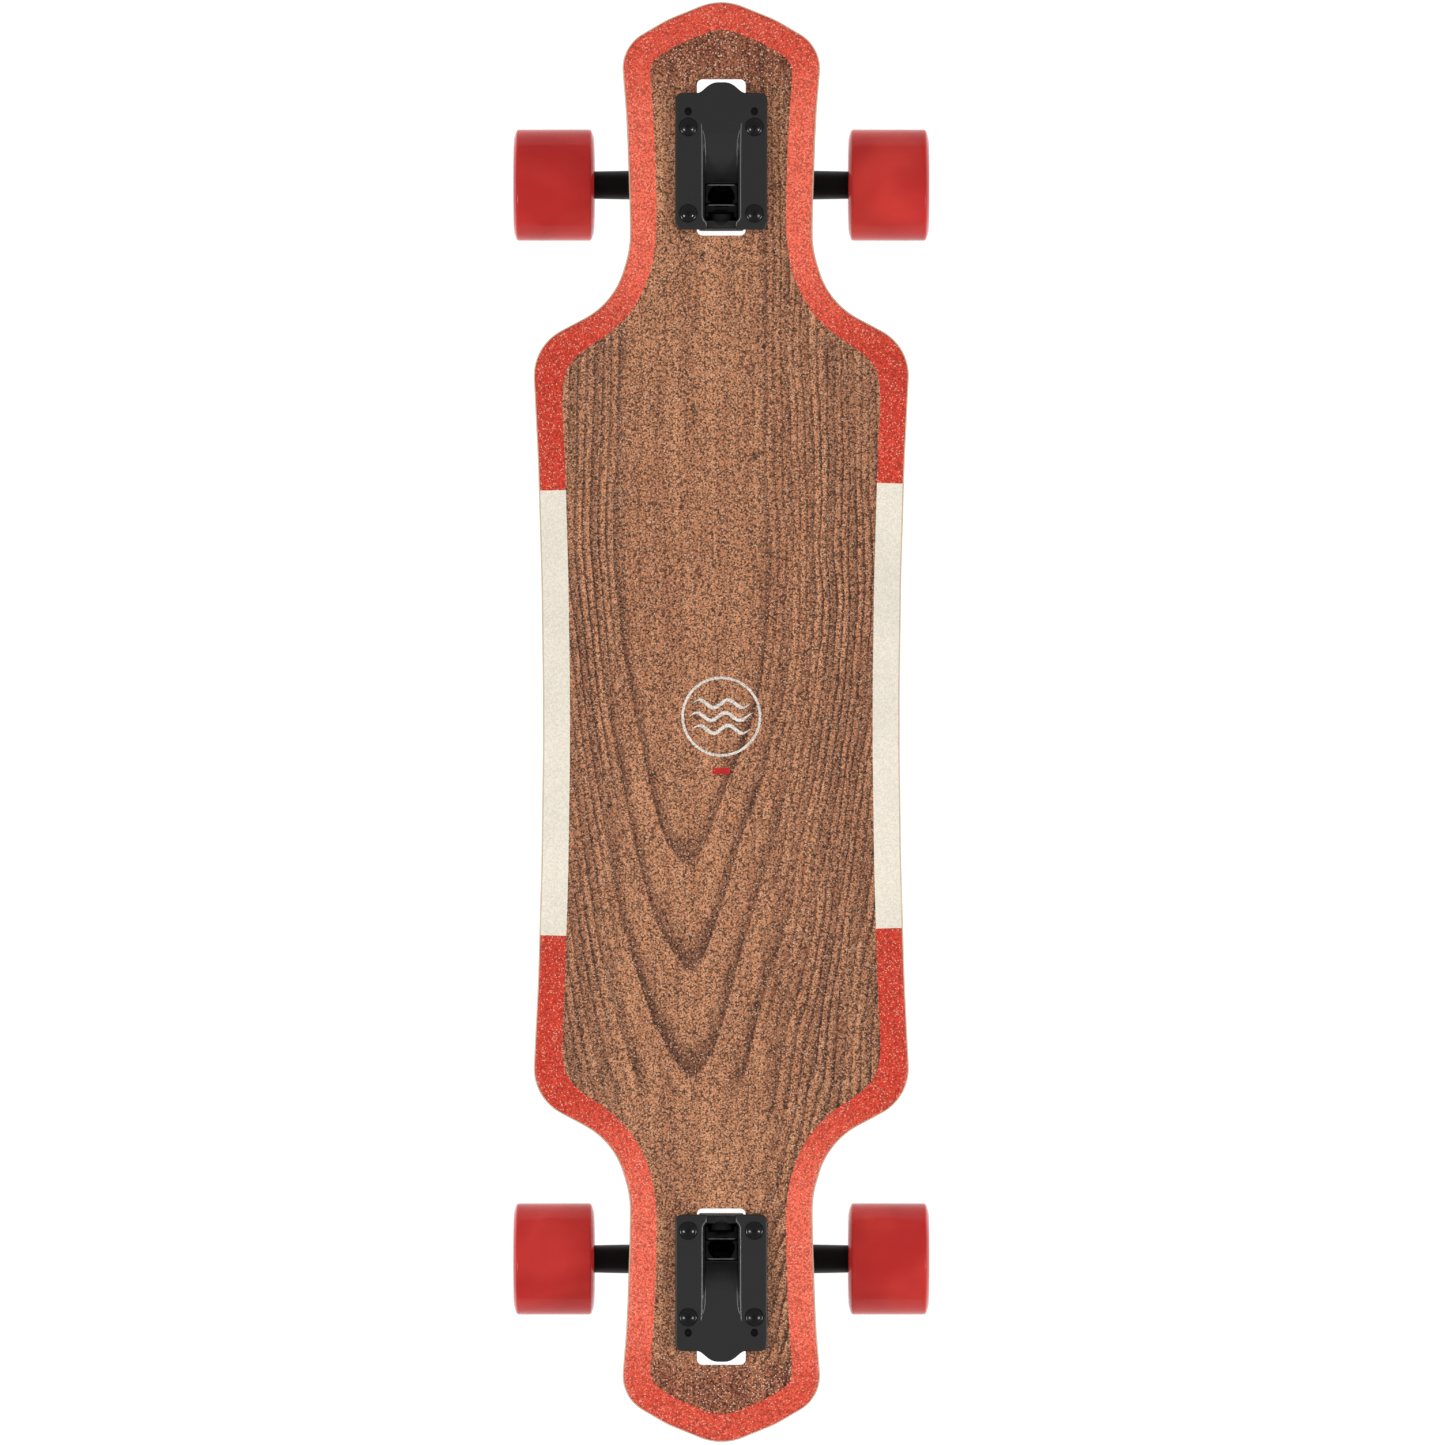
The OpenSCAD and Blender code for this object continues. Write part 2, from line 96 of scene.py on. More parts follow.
class Shader:
    def __init__(self, name):
        self.material = bpy.data.materials.new(name)
        self.material.use_nodes = True
        self.tree = self.material.node_tree
        self.tree.nodes.clear()
        self.surface = self.tree.nodes.new("ShaderNodeBsdfPrincipled")
        output = self.tree.nodes.new("ShaderNodeOutputMaterial")
        self.tree.links.new(self.surface.outputs[0], output.inputs["Surface"])

    def add(self, kind, settings=None, values=None):
        node = self.tree.nodes.new(kind)
        for name, value in (settings or {}).items():
            setattr(node, name, value)
        for name, value in (values or {}).items():
            self.feed(node.inputs[name], value)
        return Outputs(self, node)

    def feed(self, socket, value):
        if isinstance(value, Wire):
            self.tree.links.new(value.socket, socket)
        elif hasattr(value, "__len__") and len(value) == 3 and socket.type == "RGBA":
            socket.default_value = (*value, 1)
        else:
            socket.default_value = value

    def finish(self, **values):
        for name, value in values.items():
            self.feed(self.surface.inputs[socketNames[name]], value)
        return self.material

    def place(self):
        return self.add("ShaderNodeTexCoord")["Object"]

    def split(self, vector):
        parts = self.add("ShaderNodeSeparateXYZ", {}, {0: vector})
        return parts[0], parts[1], parts[2]

    def join(self, x, y, z):
        return self.add("ShaderNodeCombineXYZ", {}, {0: x, 1: y, 2: z})[0]

    def noise(self, vector, scale, detail=2, roughness=0.5, distortion=0):
        values = {"Vector": vector, "Scale": scale, "Detail": detail, "Roughness": roughness,
                  "Distortion": distortion}
        return self.add("ShaderNodeTexNoise", {}, values)["Fac"]

    def step(self, value, low, high, toLow=0, toHigh=1):
        values = {"Value": value, "From Min": low, "From Max": high, "To Min": toLow, "To Max": toHigh}
        return self.add("ShaderNodeMapRange", {"interpolation_type": "SMOOTHSTEP"}, values)["Result"]

    def mix(self, factor, low, high, blend="MIX"):
        settings = {"data_type": "RGBA", "blend_type": blend}
        return self.add("ShaderNodeMix", settings, {0: factor, 6: low, 7: high})[2]

    def clouded(self, cloud, low, high):
        # a noise from one colour to the other
        return self.mix(self.step(cloud, 0.3, 0.7), low, high)

    def bump(self, height, distance, strength=1.0):
        values = {"Height": height, "Distance": distance, "Strength": strength}
        return self.add("ShaderNodeBump", {}, values)[0]


class Outputs:
    def __init__(self, shader, node):
        self.shader = shader
        self.node = node

    def __getitem__(self, name):
        return Wire(self.shader, self.node.outputs[name])


socketNames = {
    "colour": "Base Color", "roughness": "Roughness", "metallic": "Metallic", "normal": "Normal",
    "coat": "Coat Weight", "coatRoughness": "Coat Roughness", "specular": "Specular IOR Level",
    "subsurface": "Subsurface Weight", "subsurfaceRadius": "Subsurface Radius",
    "subsurfaceScale": "Subsurface Scale", "emission": "Emission Color",
    "emissionStrength": "Emission Strength",
}


def srgb(red, green, blue):
    def linear(value):
        value /= 255
        return value / 12.92 if value <= 0.04045 else ((value + 0.055) / 1.055) ** 2.4
    return linear(red), linear(green), linear(blue)


# rounded outlines

def roundCorners(corners, arcStep=4):
    points = []
    count = len(corners)
    for i in range(count):
        a, b, c = (Vector(corners[k % count][:2]) for k in (i - 1, i, i + 1))
        radius = corners[i][2]
        back, ahead = (a - b).normalized(), (c - b).normalized()
        turn = back.x * ahead.y - back.y * ahead.x
        half = math.acos(max(-1, min(1, back.dot(ahead)))) / 2
        if radius <= 0 or half > math.radians(89.9):
            points.append(b)
            continue
        centre = b + (back + ahead).normalized() * radius / math.sin(half)
        first = b + back * radius / math.tan(half) - centre
        sweep = math.pi - 2 * half
        steps = max(1, math.ceil(math.degrees(sweep) / arcStep))
        direction = 1 if turn < 0 else -1
        for k in range(steps + 1):
            angle = direction * sweep * k / steps
            points.append(centre + Matrix.Rotation(angle, 2) @ first)
    return points

# the deck: plies pressed into a shallow trough, painted border, wheel notches at both ends

deck = {
    "borderWidth": 17 * mm,
    "edgeRadius": 3.4 * mm,
    "borderEase": (12 * mm, 5 * mm),   # rounding of its inner line, at shoulders and tips
    "paintStops": 47,              # degrees round the edge where the paint ends
    "flatHalfWidth": 50 * mm,
    "neckHalfWidth": 57.1 * mm,
    "waistHalfWidth": 111.25 * mm,
    "creamRight": (-128.5 * mm, 148.8 * mm),
    "creamLeft": (-133 * mm, 144.4 * mm),
    "rowSpacing": 5 * mm,
    "columns": 30,
    "slot": {"halfWidth": 15.2 * mm, "inner": -33.1 * mm, "outer": 64.6 * mm, "radius": 3.5 * mm},
    "boltHole": 2.7 * mm,
}
boltX = 20.64 * mm
boltPlaces = (-19.5 * mm, 34.5 * mm)   # outward from the axle
# half width, distance from the middle, corner radius
deckCorners = [
    (0, halfLength + 2.8 * mm, 36 * mm),
    (34 * mm, halfLength - 11 * mm, 60 * mm),
    (63 * mm, halfLength - 28 * mm, 25 * mm),
    (58.9 * mm, halfLength - 78 * mm, 400 * mm),
    (deck["neckHalfWidth"], halfLength - 132 * mm, 400 * mm),
    (deck["neckHalfWidth"], halfLength - 154 * mm, 60 * mm),
    (67.5 * mm, halfLength - 188.2 * mm, 50 * mm),
    (shoulderHalf + 1 * mm, halfLength - 215 * mm, 32 * mm),
    (114.6 * mm, halfLength - 287 * mm, 400 * mm),
    (112.4 * mm, halfLength - 362 * mm, 600 * mm),
    (deck["waistHalfWidth"], 0, 1500 * mm),
]
railRun = shoulderHalf - deck["flatHalfWidth"]
railRise = deckHigh.z - deckTop
concaveRadius = (railRun ** 2 + railRise ** 2) / (2 * railRise)


def concave(x):
    run = max(0, abs(x) - deck["flatHalfWidth"])
    return concaveRadius - math.sqrt(concaveRadius ** 2 - run ** 2)


def rightEdge():
    lower = [(x, -y, r) for x, y, r in reversed(deckCorners[:-1])]
    right = deckCorners + lower
    left = [(-x, y, r) for x, y, r in reversed(right[1:-1])]
    points = [p for p in roundCorners(right + left, 3) if p.x > 0.1 * mm]
    points.sort(key=lambda p: -p.y)
    points = [Vector((0, halfLength))] + points + [Vector((0, -halfLength))]
    cuts = list(deck["creamRight"]) + list(deck["creamLeft"])
    filled = [points[0]]
    for a, b in zip(points, points[1:]):
        pieces = max(1, math.ceil((a - b).length / deck["rowSpacing"]))
        between = [a.lerp(b, k / pieces) for k in range(1, pieces)]
        between += [a.lerp(b, (a.y - cut) / (a.y - b.y)) for cut in cuts if a.y > cut > b.y]
        filled += sorted(between, key=lambda p: -p.y) + [b]
    tidy = [filled[0]]
    for p in filled[1:]:
        if (p - tidy[-1]).length > 0.02 * mm:
            tidy.append(p)
    return tidy


def eased(line, spreads):
    # evens out the bends of a line that starts and ends on the board's middle, where it goes on mirrored
    run = [0]
    for a, b in zip(line, line[1:]):
        run.append(run[-1] + (b - a).length)
    share = [(run[min(k + 1, len(run) - 1)] - run[max(k - 1, 0)]) / 2 for k in range(len(run))]
    known = list(zip(run, line, share))
    before = [(-place, Vector((-p.x, p.y)), part) for place, p, part in known]
    after = [(2 * run[-1] - place, Vector((-p.x, p.y)), part) for place, p, part in known]
    points = []
    for here, point in zip(run, line):
        total, weight = Vector((0, 0)), 0
        spread = spreads[1] if abs(point.y) > halfLength - 100 * mm else spreads[0]
        for place, p, part in before + known + after:
            away = (place - here) / spread
            if abs(away) < 4:
                pull = part * math.exp(-away * away / 2)
                total += p * pull
                weight += pull
        points.append(total / weight)
    return points


def buildDeck():
    edge = rightEdge()
    last = len(edge) - 1
    outward = []
    for i in range(last + 1):
        if i in (0, last):
            outward.append(Vector((0, 1 if i == 0 else -1)))
            continue
        along = edge[i + 1] - edge[i - 1]
        outward.append(Vector((-along.y, along.x)).normalized())
    radius = deck["edgeRadius"]
    thickness = deckTop - deckBottom
    bends = (0, 12, 24, 36, deck["paintStops"], 57, 75, 90)
    turns = [(radius * (1 - math.sin(math.radians(a))), radius * (1 - math.cos(math.radians(a))))
             for a in bends]
    stations = [(deck["borderWidth"], 0)] + turns
    stations += [(offset, thickness - drop) for offset, drop in reversed(turns)]
    stations += [(deck["borderWidth"], thickness)]
    painted = 1 + bends.index(deck["paintStops"])
    mesh = bmesh.new()

    def vertex(x, y, drop):
        return mesh.verts.new((x, y, deckTop + concave(x) - drop))

    rings = {}
    inner = eased([p - normal * deck["borderWidth"] for p, normal in zip(edge, outward)], deck["borderEase"])
    for i, (point, normal) in enumerate(zip(edge, outward)):
        for k, (offset, drop) in enumerate(stations):
            inset = inner[i] if k in (0, len(stations) - 1) else point - normal * offset
            rings[i, k, 1] = vertex(inset.x, inset.y, drop)
            rings[i, k, -1] = rings[i, k, 1] if i in (0, last) else vertex(-inset.x, inset.y, drop)

    def face(corners, slot):
        unique = []
        for corner in corners:
            if corner not in unique:
                unique.append(corner)
        if len(unique) > 2:
            mesh.faces.new(unique).material_index = slot

    for i in range(last):
        middle = (edge[i].y + edge[i + 1].y) / 2
        for side, (low, high) in ((1, deck["creamRight"]), (-1, deck["creamLeft"])):
            printed = 2 if low < middle < high else 1
            for k in range(len(stations) - 1):
                if k < painted:
                    slot = printed
                elif k < len(stations) - 1 - 2:
                    slot = 3
                else:
                    slot = 4
                face([rings[i, k, side], rings[i, k + 1, side],
                      rings[i + 1, k + 1, side], rings[i + 1, k, side]], slot)
    for k, slot in ((0, 0), (len(stations) - 1, 4)):
        drop = stations[k][1]
        above = None
        for i in range(last + 1):
            left, right = rings[i, k, -1], rings[i, k, 1]
            if i in (0, last):
                row = [left] * (deck["columns"] + 1)
            else:
                row = [left]
                for c in range(1, deck["columns"]):
                    row.append(vertex(right.co.x * (2 * c / deck["columns"] - 1), right.co.y, drop))
                row.append(right)
            if above:
                for c in range(deck["columns"]):
                    face([above[c], above[c + 1], row[c + 1], row[c]], slot)
            above = row
    outside(mesh)
    piece = meshPiece("deckBoard", mesh, [walnutTop, redPrint, creamPrint, pliesEdge, walnutBase])
    cutters = []
    for turn in (0, math.pi):
        slot = deck["slot"]
        outline = roundCorners([
            (slot["halfWidth"], slot["outer"], slot["radius"]),
            (slot["halfWidth"], slot["inner"], slot["radius"]),
            (-slot["halfWidth"], slot["inner"], slot["radius"]),
            (-slot["halfWidth"], slot["outer"], slot["radius"])], 15)
        circles = [circle(side * boltX, place, deck["boltHole"], 24)
                   for side in (-1, 1) for place in boltPlaces]
        for loop in [outline] + circles:
            moved = [Matrix.Rotation(turn, 2) @ (p + Vector((0, axleMiddle.y))) for p in loop]
            cutters.append(prism(moved, deckBottom - 10 * mm, deckHigh.z + 10 * mm))
    carve(piece, cutters, pliesEdge)
    shadeSmooth(piece, 35)
    return piece


# mesh helpers

def meshPiece(name, mesh, finishes):
    data = bpy.data.meshes.new(name)
    mesh.to_mesh(data)
    mesh.free()
    for finish in finishes:
        data.materials.append(finish)
    piece = bpy.data.objects.new(name, data)
    scene.collection.objects.link(piece)
    return piece


def shadeSmooth(piece, degrees):
    piece.data.shade_smooth()
    piece.data.set_sharp_from_angle(angle=math.radians(degrees))


def prism(loop, low, high):
    mesh = bmesh.new()
    bottom = [mesh.verts.new((p.x, p.y, low)) for p in loop]
    top = [mesh.verts.new((p.x, p.y, high)) for p in loop]
    mesh.faces.new(bottom)
    mesh.faces.new(top)
    band(mesh, bottom, top)
    return outside(mesh)


def band(mesh, here, there, closed=True):
    # faces between two rows of points, with as many points in each
    count = len(here)
    for k in range(count if closed else count - 1):
        n = (k + 1) % count
        mesh.faces.new((here[k], here[n], there[n], there[k]))


def sideways(mesh):
    # a prism drawn in (outward, up) and run along z is laid across the board
    turn = Matrix(((0, 0, 1, 0), (1, 0, 0, 0), (0, 1, 0, 0), (0, 0, 0, 1)))
    bmesh.ops.transform(mesh, matrix=turn, verts=mesh.verts)
    return outside(mesh)


def outside(mesh):
    bmesh.ops.recalc_face_normals(mesh, faces=mesh.faces)
    return mesh


def circle(x, y, radius, steps, stretch=1):
    angles = [2 * math.pi * k / steps for k in range(steps)]
    return [Vector((x + radius * math.cos(a), y + radius * stretch * math.sin(a))) for a in angles]


def together(meshes):
    whole = bmesh.new()
    for mesh in meshes:
        data = bpy.data.meshes.new("part")
        mesh.to_mesh(data)
        mesh.free()
        whole.from_mesh(data)
        bpy.data.meshes.remove(data)
    return whole


def bake(piece):
    # puts the result of the piece's modifiers into its mesh
    graph = bpy.context.evaluated_depsgraph_get()
    graph.update()
    fresh = bpy.data.meshes.new_from_object(piece.evaluated_get(graph))
    piece.modifiers.clear()
    old = piece.data
    piece.data = fresh
    fresh.name = piece.name
    bpy.data.meshes.remove(old)


def carve(piece, meshes, finish=None, operation="DIFFERENCE"):
    cutter = meshPiece("cutter", together(meshes), [finish] if finish else [])
    change = piece.modifiers.new("carve", "BOOLEAN")
    change.operation = operation
    change.solver = "MANIFOLD"
    change.object = cutter
    change.material_mode = "TRANSFER" if finish else "INDEX"
    bake(piece)
    bpy.data.objects.remove(cutter)


def lathe(profile, steps=64, closed=True):
    # turns a closed profile of (radius, along) points round the x axis
    mesh = bmesh.new()
    rings = []
    for k in range(steps):
        angle = 2 * math.pi * k / steps
        rings.append([mesh.verts.new((p[1], p[0] * math.cos(angle), p[0] * math.sin(angle)))
                      for p in profile])
    for here, there in zip(rings, rings[1:] + rings[:1]):
        band(mesh, here, there, closed)
    bmesh.ops.remove_doubles(mesh, verts=mesh.verts, dist=1e-7)
    return outside(mesh)


def moved(mesh, matrix):
    bmesh.ops.transform(mesh, matrix=matrix, verts=mesh.verts)
    return mesh


def cast(piece, voxel, rounds):
    # melts overlapping shapes into one casting with soft corners
    remesh = piece.modifiers.new("melt", "REMESH")
    remesh.mode = "VOXEL"
    remesh.voxel_size = voxel
    remesh.use_smooth_shade = True
    soften = piece.modifiers.new("soften", "SMOOTH")
    soften.factor = 0.5
    soften.iterations = rounds
    bake(piece)


def settle(piece, body, slot, *nodes):
    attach(piece, body)
    if nodes:
        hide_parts(*nodes)
    return piece


# finishes

grit = {"cell": 0.85 * mm, "share": 0.3, "height": 0.12 * mm, "darkest": 0.2, "lightest": 1.62}


def coarseGrit(shader, colour, bright, strength=1.0, sparkle=1.0):
    # clear coat with glass grains: a few grains carry a painted glint in a fixed bright colour, the rest mottle
    # what lies below
    place = shader.place()
    values = {"Vector": place, "Scale": 1 / grit["cell"], "Randomness": 1}
    cells = shader.add("ShaderNodeTexVoronoi", {"feature": "F1"}, values)
    pick, size, tint = shader.split(cells["Color"])
    spot = shader.step(cells["Distance"], 0.62, 0.3)
    # painted glint: the picked grains take the bright colour under any lamp
    lit = shader.step(pick, 1 - grit["share"], 1.0, 0, 0.85) * spot * sparkle
    fine = shader.noise(place, 1 / (0.55 * mm), 2, 0.7)
    mottle = fine * 0.45 + tint * 0.55
    shade = shader.step(mottle, 0.25, 0.75, grit["darkest"], grit["lightest"])
    shaded = shader.mix(1, colour, shader.join(shade, shade, shade), "MULTIPLY")
    mottled = shader.mix(strength, colour, shaded)
    finished = shader.mix(lit, mottled, bright)
    height = shader.step(cells["Distance"], 0.6, 0.0) * size
    return finished, height


walnut = {
    "heart": (-18 * mm, 118 * mm), "slope": 0.22, "point": 1.62,
    "broadRing": 13.6 * mm, "fineRing": 4.55 * mm, "sway": 13 * mm, "jitter": 3.2 * mm,
    "plainHeart": (36 * mm, 47 * mm), "figureEnd": (-238 * mm, -216 * mm),
    "straightFrom": (34 * mm, 62 * mm), "darkEnds": (380 * mm, 418 * mm),
    "light": srgb(188, 130, 94), "middle": srgb(162, 107, 76), "dark": srgb(92, 54, 38),
    "knots": ((-70 * mm, -52 * mm), (21 * mm, 166 * mm), (22 * mm, -177 * mm), (-12 * mm, 290 * mm)),
}


def walnutColour(shader):
    # growth rings cut at a slant, so they run straight at the sides and come to points in the middle
    x, y = shader.split(shader.place())[:2]

    def drawn(across, along, layer, detail, roughness):
        return shader.noise(shader.join(x * across, y * along, layer), 1, detail, roughness)

    slow = drawn(8, 3.4, 0, 2, 0.5)
    sway = drawn(40, 11, 4, 3, 0.55)
    heartX, heartY = walnut["heart"]
    across = abs(x - heartX + (slow - 0.5) * (2 * walnut["sway"]) + (sway - 0.5) * (2 * walnut["jitter"]))
    along = (heartY - y).most(0) * walnut["slope"] + (slow - 0.5) * walnut["sway"]
    point = walnut["point"]
    reach = (across ** point + along.most(0) ** point) ** (1 / point)
    broad = (reach / walnut["broadRing"] + 0.5).part()
    broadLine = shader.step(broad, 0.5, 0.94) * shader.step(broad, 1.0, 0.95)
    broadLine = broadLine * shader.step(reach, *walnut["plainHeart"]) * shader.step(y, *walnut["figureEnd"])
    fine = (reach / walnut["fineRing"] + sway).part()
    fineLine = shader.step(fine, 0.35, 0.85) * shader.step(fine, 1.0, 0.88)
    sides = shader.step(abs(x - heartX), *walnut["straightFrom"])
    patch = drawn(34, 7, 9, 3, 0.6)
    wander = shader.step(patch, 0.3, 0.68)
    dark = broadLine * (0.6 + wander * 0.4) * (1 - sides * 0.4)
    dark = dark.most(fineLine * (0.2 + sides * 0.75) * (0.55 + wander * 0.6))
    streak = drawn(420, 16, 0, 4, 0.65)
    fibre = drawn(2100, 110, 0, 2, 0.6)
    wash = drawn(75, 4, 2, 3, 0.6)
    colour = shader.clouded(wash, walnut["middle"], walnut["light"])
    colour = shader.mix(dark, colour, walnut["dark"])
    colour = shader.mix(shader.step(streak, 0.5, 0.72) * 0.5, colour, walnut["dark"])
    colour = shader.mix(shader.step(streak, 0.42, 0.25) * 0.3, colour, walnut["light"])
    colour = shader.mix(shader.step(fibre, 0.58, 0.74) * 0.4, colour, srgb(84, 52, 38))
    for knotX, knotY in walnut["knots"]:
        away = ((x - knotX) * (x - knotX) + (y - knotY) * (y - knotY) * 0.35) ** 0.5
        ragged = away + (streak - 0.5) * (3 * mm)
        colour = shader.mix(shader.step(ragged, 2.6 * mm, 0.8 * mm) * 0.8, colour, srgb(58, 34, 26))
    return colour, streak


def makeWalnut(name, gritty):
    shader = Shader(name)
    colour, streak = walnutColour(shader)
    if gritty:
        farOut = abs(shader.split(shader.place())[1])
        end = shader.step(farOut, *walnut["darkEnds"])
        colour = shader.mix(end, colour, shader.mix(1, colour, (0.68, 0.5, 0.5), "MULTIPLY"))
        # more painted glints on the grains towards the ends
        colour, height = coarseGrit(shader, colour, srgb(236, 200, 168), 1.0, 0.9 + end * 0.6)
        normal = shader.bump(height, grit["height"], 0.5)
        return shader.finish(colour=colour, roughness=0.5, normal=normal, specular=0.35)
    normal = shader.bump(streak, 0.05 * mm, 0.4)
    return shader.finish(colour=colour, roughness=0.32, normal=normal, coat=0.3, coatRoughness=0.2)


# the red print turns paler orange from 225 mm out towards the ends, and less so past 375 mm
printPaleBand = {"from": (225 * mm, 300 * mm), "until": (425 * mm, 375 * mm, 0.3, 1)}


def makePrint(name, colour, bright, strength, paleShare=0, sparkle=0.3):
    shader = Shader(name)
    place = shader.place()
    wash = shader.noise(place, 18, 2)
    farOut = abs(shader.split(place)[1])
    paler = shader.step(farOut, *printPaleBand["from"]) * shader.step(farOut, *printPaleBand["until"]) * paleShare
    base = shader.clouded(wash, tuple(v * 0.92 for v in colour), colour)
    base = shader.mix(paler, base, srgb(238, 104, 80))
    coated, height = coarseGrit(shader, base, bright, strength, sparkle)
    normal = shader.bump(height, grit["height"], 0.5 * strength)
    return shader.finish(colour=coated, roughness=0.5 - 0.08 * (1 - strength), normal=normal, specular=0.35)


def makePlies():
    # seven maple plies seen on edge: depth below the riding face picks the ply
    shader = Shader("pliesEdge")
    x, y, z = shader.split(shader.place())
    run = (abs(x) - deck["flatHalfWidth"]).most(0)
    depth = deckTop - z + run * run / (2 * concaveRadius)
    ply = depth / ((deckTop - deckBottom) / 7)
    odd = (ply / 2).part() > 0.5
    face = depth < 1.3 * mm
    seam = shader.step(abs(ply.part() - 0.5), 0.44, 0.5)
    along = shader.noise(shader.join(x * 60, y * 60, z * 1500), 1, 3)
    light = shader.clouded(along, srgb(240, 224, 196), srgb(250, 238, 214))
    end = shader.clouded(along, srgb(196, 156, 112), srgb(212, 176, 134))
    colour = shader.mix(odd, light, end)
    colour = shader.mix(seam * 0.5, colour, srgb(120, 84, 56))
    colour = shader.mix(face, colour, srgb(92, 50, 36))
    normal = shader.bump(along + seam * -0.6, 0.1 * mm, 0.5)
    return shader.finish(colour=colour, roughness=0.38, normal=normal, coat=0.35, coatRoughness=0.2)


# depths below the flange top over which painted shade darkens the casting, and where it stops again
paintedShadeDepth = {"from": (1.5 * mm, 9 * mm, 0, 0.93), "until": (31 * mm, 24 * mm)}


def makeCasting(name, colour, roughness, deepFrom=None, specular=0.5):
    # powder coat: fine orange peel, rubbed a little shinier on the high spots, with painted shade darkening it
    # where it lies deep
    shader = Shader(name)
    place = shader.place()
    peel = shader.noise(place, 900, 2, 0.6)
    cloud = shader.noise(place, 60, 3, 0.6)
    shade = shader.clouded(cloud, tuple(v * 0.85 for v in colour), colour)
    # painted shade: the colour goes towards black with depth below deepFrom, standing in for the shade deep in the
    # channel
    if deepFrom:
        depth = deepFrom - shader.split(place)[2]
        paintedShade = shader.step(depth, *paintedShadeDepth["from"]) * shader.step(depth, *paintedShadeDepth["until"])
        shade = shader.mix(paintedShade, shade, (0, 0, 0))
    normal = shader.bump(peel, 0.06 * mm, 0.35)
    rough = shader.step(cloud, 0.25, 0.75, roughness + 0.06, roughness - 0.05)
    return shader.finish(colour=shade, roughness=rough, normal=normal, specular=specular)


def makeMetal(name, colour, roughness, brushed=0.15):
    shader = Shader(name)
    place = shader.place()
    turned = shader.noise(place, 1400, 2, 0.6)
    stain = shader.noise(place, 120, 3, 0.6)
    shade = shader.mix(shader.step(stain, 0.3, 0.8), colour, tuple(v * 0.75 for v in colour))
    rough = shader.step(stain, 0.2, 0.8, roughness - 0.05, roughness + 0.1)
    normal = shader.bump(turned, 0.03 * mm, brushed)
    return shader.finish(colour=shade, roughness=rough, metallic=1.0, normal=normal)


def makeUrethane(name, colour, deep, roughness, see):
    # cast urethane: colour sinks in at thin edges, faint swirl and rolling scuffs
    shader = Shader(name)
    place = shader.place()
    swirl = shader.noise(place, 17, 2, 0.5, 0.6)
    scuff = shader.noise(place, 700, 2, 0.6)
    shade = shader.clouded(swirl, colour, deep)
    rough = shader.step(scuff, 0.35, 0.75, roughness, roughness + 0.12)
    normal = shader.bump(scuff, 0.02 * mm, 0.3)
    return shader.finish(colour=shade, roughness=rough, normal=normal, subsurface=see,
                         subsurfaceRadius=(0.012, 0.002, 0.002), subsurfaceScale=0.6, specular=0.12,
                         coat=0.02, coatRoughness=0.1)


walnutTop = makeWalnut("walnutGrit", True)
walnutBase = makeWalnut("walnutSatin", False)
redPrint = makePrint("redPrint", srgb(212, 62, 42), srgb(252, 178, 152), 0.5, 1, 1.2)
creamPrint = makePrint("creamPrint", srgb(246, 237, 220), srgb(248, 242, 230), 0.12)
palePrint = makePrint("palePrint", srgb(230, 224, 215), srgb(240, 236, 230), 0.4)
tagPrint = makePrint("tagPrint", srgb(196, 40, 36), srgb(250, 190, 165), 0.15)
pliesEdge = makePlies()
# the baseplate casting carries painted shade deep in its channel
blackCasting = makeCasting("blackCasting", srgb(33, 33, 34), 0.45, plateHigh.z)
# painted highlight: a light grey on the lips and ribs of the black casting, where light would catch them
ribBlack = makeCasting("ribBlack", srgb(112, 112, 114), 0.26)
blackArm = makeCasting("blackHanger", srgb(9, 7, 7), 0.42, specular=0.15)
kingpinBlack = makeMetal("kingpinBlack", srgb(26, 26, 27), 0.3)
boltBlack = makeCasting("boltBlack", srgb(4, 4, 5), 0.22, specular=0.45)
zincSteel = makeMetal("zincSteel", srgb(178, 178, 182), 0.32)
brightSteel = makeMetal("brightSteel", srgb(208, 209, 212), 0.18)
wheelRed = makeUrethane("wheelUrethane", srgb(208, 62, 56), srgb(186, 46, 44), 0.07, 0.3)
coreRed = makeUrethane("wheelCore", srgb(120, 12, 16), srgb(90, 8, 10), 0.3, 0.1)
bushingRed = makeUrethane("bushingUrethane", srgb(176, 26, 24), srgb(140, 16, 16), 0.3, 0.2)
rubberBlack = makeCasting("rubberBlack", srgb(28, 28, 28), 0.6)
print("finishes made")

# camera and studio

camera = {"distance": 12.0, "frameHeight": 0.9025, "sensor": 36, "aim": (0.75 * mm, -0.3 * mm)}
cameraData = bpy.data.cameras.new("camera")
cameraData.sensor_width = camera["sensor"]
cameraData.lens = camera["sensor"] * camera["distance"] / camera["frameHeight"]
cameraData.clip_end = 40
cameraObject = bpy.data.objects.new("camera", cameraData)
cameraObject.location = (*camera["aim"], deckTop + camera["distance"])
scene.collection.objects.link(cameraObject)
scene.camera = cameraObject

